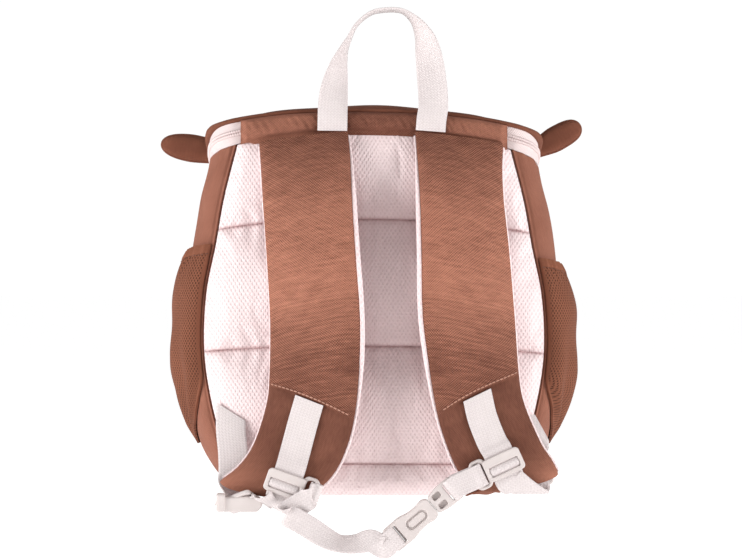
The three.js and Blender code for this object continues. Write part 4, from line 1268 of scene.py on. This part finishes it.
def strap_web_rows(hand):
    """Down the strap, through its slider and into the lock's near slot"""
    lock, slider = lock_seat(hand), slider_seat(hand)
    rows = []
    for along, share, lift in STRAP_WEBS[hand]:
        at, across, down, _ = on_strap(hand, along, share, lift + WEB_THICK / 2)
        rows.append((at, across - down * dot(across, down)))
    across = slider.side * INWARDS[hand]
    rows += [(slider.to(0, y, z), across) for y, z in THROUGH_SLIDER]
    rows += [(at, lock.side if wide is None else wide, *more) for at, wide, *more in WEB_ENDS[hand]]
    return rows + [(lock.to(0, y, z), lock.side) for y, z in DIP]


def anchor_rows(hand):
    """Down from the back's corner and round the lock's far bar"""
    lock = lock_seat(hand)
    ends = LOOP_ROUND if hand == "left" else [(-y, z) for y, z in DIP]
    rows = [(at, ANCHOR_WIDTHS[hand]) for at in ANCHORS[hand]]
    return rows + [(lock.to(0, y, z), lock.side) for y, z in ends]


def chest_left_rows():
    """Once round the left ring's bar, slack to the buckle and once round its bar"""
    ring, buckle = slider_seat("left"), buckle_seat()
    at_ring = [(16.7, 1.8), (17, -0.7), (19.2, -2.6), (22, -2.4), (23.7, 0.5), (22, 3.4), (19.2, 3.9)]
    to_buckle = [(-34, 3.8), (-29, 3.7), (-25, 3.6), (-22.4, 3)]
    under_buckle = [(-21.6, 0), (-22.4, -3), (-25, -3.6), (-29, -3.6), (-34, -3.2)]
    rows = [(ring.to(x, 0, z), ring.rise) for x, z in at_ring] + CHEST_SLACK
    return rows + [(buckle.to(x, 0, z), buckle.rise) for x, z in to_buckle + under_buckle]


def chest_right_rows():
    """A short loop round the prong's bar and the right ring's bar"""
    ring, buckle = slider_seat("right"), buckle_seat()
    at_prong = [(28.5, -4.2), (24.8, -3.9), (22.7, 0), (24.8, 3.9), (28.5, 4.2)]
    at_ring = [(-22, 3.6), (-17.8, 3.6), (-14.7, 0.7), (-17.8, -2.4), (-22, -2.6)]
    rows = [(buckle.to(x, 0, z), buckle.rise) for x, z in at_prong]
    return rows + [(ring.to(x, 0, z), ring.rise) for x, z in at_ring]


# Moulded fittings

def rounded_box(x, y, wide, high, corner, steps=6):
    """A box with rounded corners, once round against the clock"""
    turn = np.linspace(0, math.pi / 2, steps)
    loop = []
    for quarter, (sx, sy) in enumerate(((1, 1), (-1, 1), (-1, -1), (1, -1))):
        angle = turn + quarter * math.pi / 2
        middle = np.array([x + sx * (wide / 2 - corner), y + sy * (high / 2 - corner)])
        loop.append(middle + corner * np.stack([np.cos(angle), np.sin(angle)], axis=-1))
    return np.vstack(loop)


def softened(corners, radius, steps=6):
    """A closed loop through corners given against the clock, each rounded off"""
    corners = np.array(corners, float)
    ahead = unit(np.roll(corners, -1, axis=0) - corners)
    behind = unit(np.roll(corners, 1, axis=0) - corners)
    t = np.linspace(0, 1, steps)[None, :, None]
    start, end = corners + behind * radius, corners + ahead * radius
    curve = (1 - t) ** 2 * start[:, None] + 2 * t * (1 - t) * corners[:, None] + t**2 * end[:, None]
    return curve.reshape(-1, 2)


def mirrored_loop(half, radius):
    """A loop from its upper half, given from right to left"""
    half = np.array(half, float)
    return softened(np.vstack([half, half[::-1] * [1, -1]]), radius)


def grown(loop, step):
    """A closed loop moved outwards by a step"""
    along = unit(np.roll(loop, -1, axis=0) - np.roll(loop, 1, axis=0))
    return loop + step * np.stack([along[:, 1], -along[:, 0]], axis=-1)


def moulding(seat, outline, holes=(), thick=3.0, edge=0.8, lift=0.0):
    """A flat moulding with rounded edges and holes, placed on a seat"""
    curve = bpy.data.curves.new("moulding", "CURVE")
    curve.dimensions = "2D"
    curve.fill_mode = "BOTH"
    curve.extrude = thick / 2 - edge
    curve.bevel_depth = edge
    curve.bevel_resolution = 3
    for loop in [grown(outline, -edge), *(grown(hole, edge)[::-1] for hole in holes)]:
        spline = curve.splines.new("POLY")
        spline.points.add(len(loop) - 1)
        flat = np.column_stack([loop, np.zeros(len(loop)), np.ones(len(loop))])
        spline.points.foreach_set("co", flat.ravel())
        spline.use_cyclic_u = True
    holder = bpy.data.objects.new("moulding", curve)
    mesh = holder.to_mesh()
    points = np.zeros(len(mesh.vertices) * 3)
    mesh.vertices.foreach_get("co", points)
    mesh.calc_loop_triangles()
    faces = np.zeros(len(mesh.loop_triangles) * 3, int)
    mesh.loop_triangles.foreach_get("vertices", faces)
    holder.to_mesh_clear()
    bpy.data.objects.remove(holder)
    bpy.data.curves.remove(curve)
    x, y, z = points.reshape(-1, 3).T[..., None]
    faces = faces.reshape(-1, 3)
    return Part(seat.to(x, y, z + lift), [faces], [np.zeros((len(faces), 3, 2))])


RING_OUT = 16.4  # middle of a chest ring from the middle of its slider


def slider_parts(hand):
    """A sliding frame on the strap's webbing, with a ring for the chest strap"""
    seat = slider_seat(hand)
    ring = RING_OUT * INWARDS[hand]
    frame_box = rounded_box(0, 0, wide=26.4, high=15.4, corner=2.8)
    window = rounded_box(0, -1.7, wide=21.2, high=6.6, corner=1.2)
    plate = rounded_box(0, 0, wide=25.6, high=12, corner=3)
    posts = [rounded_box(x, 0, wide=2.6, high=11.4, corner=1.1) for x in (-11.5, 11.5)]
    loop = rounded_box(ring, 0, wide=11.6, high=20.4, corner=4.2)
    eye = rounded_box(ring, 0, wide=6.2, high=15.6, corner=2.4)
    return [
        moulding(seat, frame_box, [window], thick=2.2, edge=0.8, lift=2.2),
        moulding(seat, plate, thick=1.8, edge=0.6, lift=-2.7),
        *(moulding(seat, post, thick=5.6, edge=0.5) for post in posts),
        moulding(seat, loop, [eye], thick=3, edge=1.3),
    ]


LIP_AT = (-91, -31.2, -1.6)
LIP_OUTLINE = [(14.8, 4.2), (9, 5.4), (-14.6, 4.6), (-14.8, -2.6), (-11.5, -5.6), (11.8, -5.4), (15, -1.6)]


def lock_parts(hand):
    """A ladder lock with two slots; the left one shows its lip"""
    seat = lock_seat(hand)
    plate = rounded_box(0, 0, wide=27, high=21, corner=3)
    slots = [rounded_box(0, y, wide=21.6, high=4.2, corner=1.2) for y in (-4.6, 4.6)]
    parts = [moulding(seat, plate, slots, thick=3, edge=0.9)]
    if hand == "left":
        lip = Seat(LIP_AT, across=(1, 0.06, -0.02), up=(0.02, -0.25, 1))
        cheek = rounded_box(-12.6, 1.2, wide=6, high=12.5, corner=2)
        parts.append(moulding(lip, softened(LIP_OUTLINE, radius=1.6), thick=3.4, edge=1.3))
        parts.append(moulding(lip, cheek, thick=5, edge=1.6, lift=1.0))
    return parts


BUTTON_AT = -5.6


def socket_parts():
    """The buckle's socket with its webbing bar, release button and side notches"""
    seat = buckle_seat()
    outline = mirrored_loop([(8, 6.4), (4, 8.2), (-1, 7.0), (-8, 7.2), (-14, 8.8), (-28.2, 8.6)], 1.8)
    slot = rounded_box(-20.6, 0, wide=3.2, high=13, corner=1.4)
    opening = rounded_box(BUTTON_AT, 0, wide=16, high=7.2, corner=3.3)
    under_button = rounded_box(BUTTON_AT, 0, wide=20, high=11, corner=4)
    button = rounded_box(BUTTON_AT, 0, wide=13.4, high=4.8, corner=2.1)
    sill = rounded_box(-18.2, 0, wide=4.8, high=14, corner=0.8)
    return [
        moulding(seat, outline, [slot, opening], thick=6.8, edge=0.8),
        moulding(seat, under_button, thick=3.4, edge=0.4),
        moulding(seat, sill, thick=2.0, edge=0.3, lift=-1.8),
        moulding(seat, button, thick=5.8, edge=0.9),
    ]


def prong_parts():
    """The buckle's prong with a rib between its two windows, a plate behind them and the webbing bar"""
    seat = buckle_seat()
    outline = mirrored_loop([(28.4, 8.4), (17, 8.2), (12, 7.2), (8.4, 6.4)], 1.8)
    slot = rounded_box(22.4, 0, wide=2.6, high=12.6, corner=1.2)
    windows = [rounded_box(14.2, y, wide=6.4, high=4.0, corner=1.3) for y in (-3.5, 3.5)]
    plate = rounded_box(14.2, 0, wide=8.4, high=12.4, corner=1.2)
    return [
        moulding(seat, outline, [slot, *windows], thick=4.8, edge=0.6),
        moulding(seat, plate, thick=1.4, edge=0.3, lift=-1.4),
    ]


# Ears and pockets

def ear_parts(hand):
    """A flat padded tongue with a stitched rim"""
    row = EARS[hand]
    tilt = math.radians(row["tilt"])

    def stand(long, high, thick):
        """From the tongue's own length, height and thickness to the bag"""
        x = row["x"] - INWARDS[hand] * (long * math.cos(tilt) - high * math.sin(tilt))
        z = row["z"] + long * math.sin(tilt) + high * math.cos(tilt)
        curl = EAR_CURL * (long / EAR_LONG) ** 2 - EAR_CUP * high**2
        return np.stack([x, row["y"] + thick - curl, z], axis=-1)

    long, high = np.meshgrid(1 - np.linspace(1, 0, 61) ** 1.7, np.linspace(-1, 1, 33))
    reach = (1 - np.clip(long, 0, 1) ** row["tip"]) ** 0.5
    height = high * row["high"] / 2 * (row["root"] + (1 - row["root"]) * smooth(long, 0.1, 0.6)) * reach
    thick = EAR_THICK / 2 * np.sqrt(np.clip(1 - high**4, 0, 1)) * np.clip(1 - long**7, 0, 1) ** 0.5
    far = long * EAR_LONG
    dent = EAR_DENTS * sway(far, height, (17, 20, 0.4), (11, 80, 1.2))
    weave = np.stack([far, height], axis=-1)
    back = stand(far, height, -thick - 0.2 - dent * thick / 3)
    front = stand(far, height, thick + 0.2)
    middle = stand(far, height, np.zeros_like(far))
    rim = np.concatenate([middle[0], middle[-1, -2::-1]])
    return [shell(back, front, weave), strand(rim, np.array([0, 1.0, 0]), EAR_RIM, 8)]


POCKET_ROWS = 121
POCKET_COLUMNS = 91
HEM_ROW = 114  # row of the stitches under the hem


def pocket_places(hand):
    """Turns and levels over a pocket, and shares up and across it"""
    rows, columns = np.linspace(0, 1, POCKET_ROWS), np.linspace(0, 1, POCKET_COLUMNS)
    up, across = np.meshgrid(rows, columns, indexing="ij")
    foot = POCKET_FOOT + 0.07 * np.abs(2 * across - 1) ** 2.5
    level = foot + (POCKET_HEMS[hand] - foot) * up**1.1
    low = smooth(0.36 - level, 0, 0.21)
    back, front = 0.03 + 0.3 * low, 0.6 - 0.1 * low
    share = back + (front - back) * across
    if hand == "right":
        share = share[:, ::-1]
    return INWARDS[hand] * (share - 1), level, up, across


def pocket_surface(hand, lift):
    """Net that stands off the wall, gathered at its hem and pleated towards its foot"""
    turn, level, up, across = pocket_places(hand)
    near = across if hand == "left" else 1 - across
    drawn = 1 - 0.85 * np.clip((up - 0.7) / 0.3, 0, 1) ** 2.4
    room = smooth(up, -0.05, 0.45) * drawn * np.clip(np.sin(np.pi * across), 0, 1) ** 0.7
    fade = np.clip(np.sin(np.pi * across), 0, 1) ** 0.5
    gathers = POCKET_GATHERS * smooth(up, 0.8, 0.97) * np.sin(across * 88 + 2 * np.sin(across * 21))
    low_down = smooth(up, 0.75, 0.15) * smooth(up, 0.0, 0.14)
    pleats = POCKET_PLEATS * np.sin((near - 0.06) * 24) * low_down * smooth(near, 0.75, 0.1)
    hem = POCKET_HEM * smooth(up, 0.95, 0.965) * smooth(across, 0, 0.05) * smooth(across, 1, 0.95)
    waves = sway(across * 95, up * 130, (53, 20, 0.5), (37, 75, 1.7), (80, -30, 0.3))
    sag = POCKET_SAG * waves * smooth(up, 0.1, 0.4)
    off = POCKET_LIFT + POCKET_ROOM * room + fade * (gathers + pleats + sag) + hem
    return wall_surface(turn, level, np.maximum(off, 0.35) + lift)


def pocket_parts(hand):
    """A net pocket with a bound edge"""
    inner = pocket_surface(hand, 0.0)
    outer = pocket_surface(hand, POCKET_THICK)
    weave = np.stack([arc(outer, 1), outer[..., 2]], axis=-1)
    _, _, up, across = pocket_places(hand)
    inside = smooth(across, 0.02, 0.035) * smooth(1 - across, 0.02, 0.035) * smooth(1 - up, 0.04, 0.05)
    return [shell(outer, inner, weave, bound=1 - inside)]


def pocket_thread_parts(hand):
    """Stitches under the hem"""
    outer = pocket_surface(hand, POCKET_THICK)
    return stitches(outer[HEM_ROW], -normals(outer)[HEM_ROW], pitch=3.2)


# The pieces

def harness(name, parts, finish, slot, *stands_for):
    """A piece of the handle, the straps or the chest strap"""
    return piece(name, parts, finish, stands_for, HARNESS_SHIFT)


def fitting(name, parts, node):
    """A moulded piece whose flat faces shade flat"""
    made = piece(name, parts, PLASTIC, [node], HARNESS_SHIFT, 35)
    made.modifiers.new("flat_faces", "WEIGHTED_NORMAL").keep_sharp = True


piece("wall_cloth", wall_parts(), WALL_CLOTH_PAINTED_LIGHTER, ["body_wall"])
piece("base_cloth", base_parts(), SMOOTH_CLOTH, ["base_panel"])
back_pad = piece("back_mesh", panel_parts(), MESH, ["back_panel"])
piece("lid_cloth", lid_parts(), SMOOTH_CLOTH, ["top_lid"])
piece("lid_piping", lid_piping(), SMOOTH_CLOTH)
piece("band_cloth", band_parts(), CLOTH, ["top_band"])
piece("zip_tape_cloth", zip_tape_parts(), ZIP_TAPE, ["zip_tape"])
piece("zip_coils", zip_coil_parts(), ZIP_NYLON, ["zip_coil"])
handle = webbing(handle_rows(), WEB_WIDE, WEB_THICK, 241)
harness("handle_web", handle, WEBBING, "pale_webbing", "grab_handle")
for hand in HANDS:
    face = strap_cover_parts(hand)
    cover = harness(f"strap_cloth_{hand}", face, CLOTH, "brown_fabric", f"strap_cover_{hand}")
    under = strap_lining_parts(hand)
    lining = harness(f"strap_mesh_{hand}", under, MESH, "pale_mesh", f"strap_lining_{hand}")
    harness(f"strap_thread_{hand}", strap_thread_parts(hand), BROWN_THREAD, "brown_fabric")
    web = webbing(strap_web_rows(hand), WEB_WIDE, WEB_THICK, 161, slant=WEB_SLANTS[hand])
    harness(f"strap_web_{hand}", web, WEBBING, "pale_webbing", f"strap_webbing_{hand}")
    anchor = webbing(anchor_rows(hand), WEB_WIDE, WEB_THICK, 121, slant=ANCHOR_SLANTS[hand])
    harness(f"anchor_web_{hand}", anchor, WEBBING, "pale_webbing", f"anchor_webbing_{hand}")
    ear = piece(f"ear_cloth_{hand}", ear_parts(hand), SMOOTH_CLOTH, [f"ear_{hand}"])
    piece(f"pocket_net_{hand}", pocket_parts(hand), NET, [f"pocket_{hand}"])
    piece(f"pocket_thread_{hand}", pocket_thread_parts(hand), DARK_THREAD)
slack = webbing(chest_left_rows(), CHEST_WIDE, CHEST_THICK, 361, ribs=7)
harness("chest_web_left", slack, WEBBING, "pale_webbing", "chest_webbing_left")
short = webbing(chest_right_rows(), CHEST_WIDE, CHEST_THICK, 161, joined=True, ribs=7)
harness("chest_web_right", short, WEBBING, "pale_webbing", "chest_webbing_right")
for hand in HANDS:
    fitting(f"slider_{hand}", slider_parts(hand), f"chest_slider_{hand}")
    fitting(f"lock_{hand}", lock_parts(hand), f"strap_lock_{hand}")
fitting("socket", socket_parts(), "buckle_socket")
fitting("prong", prong_parts(), "buckle_prong")

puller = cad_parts["zip_slider"]
puller.data.materials.clear()
puller.data.materials.append(PLASTIC)
rounded = puller.modifiers.new("rounded", "BEVEL")
rounded.width = 0.5 * MM
rounded.segments = 3
rounded.limit_method = "ANGLE"


# Camera, light and floor

PHOTO_WIDE = 742
PHOTO_SCALE = 0.676  # millimetres of the bag in one pixel of the photograph
CAMERA_PLACE = (-0.00203, -1.5, -0.1795)
SENSOR_WIDE = 36.0

camera = bpy.data.cameras.new("camera")
camera.sensor_width = SENSOR_WIDE
camera.lens = SENSOR_WIDE * -CAMERA_PLACE[1] / (PHOTO_WIDE * PHOTO_SCALE * MM)
looker = bpy.data.objects.new("camera", camera)
looker.location = CAMERA_PLACE
looker.rotation_euler = (math.pi / 2, 0, 0)
bpy.context.scene.collection.objects.link(looker)
bpy.context.scene.camera = looker


LIGHTS_AIM = (0, 0, -0.18)


def softbox(name, place, size, power):
    """A flat lamp turned to the bag's middle"""
    lamp = bpy.data.lights.new(name, "AREA")
    lamp.shape = "RECTANGLE"
    lamp.size, lamp.size_y = size
    lamp.energy = power
    holder = bpy.data.objects.new(name, lamp)
    holder.location = place
    aim = np.array(LIGHTS_AIM) - np.array(place)
    yaw = math.atan2(aim[0], aim[1])
    pitch = math.atan2(aim[2], math.hypot(aim[0], aim[1]))
    holder.rotation_euler = (math.pi / 2 + pitch, 0, -yaw)
    bpy.context.scene.collection.objects.link(holder)


softbox("left_light", (-1.85, -0.85, 0.0), (0.9, 1.2), 40.5)
softbox("right_light", (1.85, -0.8, 0.1), (0.9, 1.2), 31)
softbox("back_light", (0.3, 2.2, 1.2), (1.8, 1.4), 8)

WHITE = (1, 1, 1, 1)
SKY_LIGHT = 0.31
WALL_LIGHT = 1.02  # the wall behind, as the camera sees it

world = bpy.data.worlds.new("studio")
world.use_nodes = True
bpy.context.scene.world = world
sky = world.node_tree.nodes["Background"]
sky.inputs["Strength"].default_value = SKY_LIGHT
sky.inputs["Color"].default_value = WHITE
wall_behind = world.node_tree.nodes.new("ShaderNodeBackground")
wall_behind.inputs["Strength"].default_value = WALL_LIGHT
wall_behind.inputs["Color"].default_value = WHITE
ray = world.node_tree.nodes.new("ShaderNodeLightPath")
choice = world.node_tree.nodes.new("ShaderNodeMixShader")
links = world.node_tree.links
links.new(ray.outputs["Is Camera Ray"], choice.inputs[0])
links.new(sky.outputs[0], choice.inputs[1])
links.new(wall_behind.outputs[0], choice.inputs[2])
links.new(choice.outputs[0], world.node_tree.nodes["World Output"].inputs["Surface"])

FLOOR_BELOW = 0.5
FLOOR_HALF = 40.0
floor_mesh = bpy.data.meshes.new("floor")
corners = [(x * FLOOR_HALF, y * FLOOR_HALF, -FLOOR_BELOW) for x, y in ((-1, -1), (1, -1), (1, 1), (-1, 1))]
floor_mesh.from_pydata(corners, [], [(0, 1, 2, 3)])
paper = Finish("pale_paper")
paper.surface((0.9, 0.9, 0.9, 1), 0.9, emission_color=WHITE, emission_strength=0.72)
floor_mesh.materials.append(paper.material)
floor = bpy.data.objects.new("floor", floor_mesh)
bpy.context.scene.collection.objects.link(floor)

bpy.context.scene.view_settings.view_transform = "Standard"
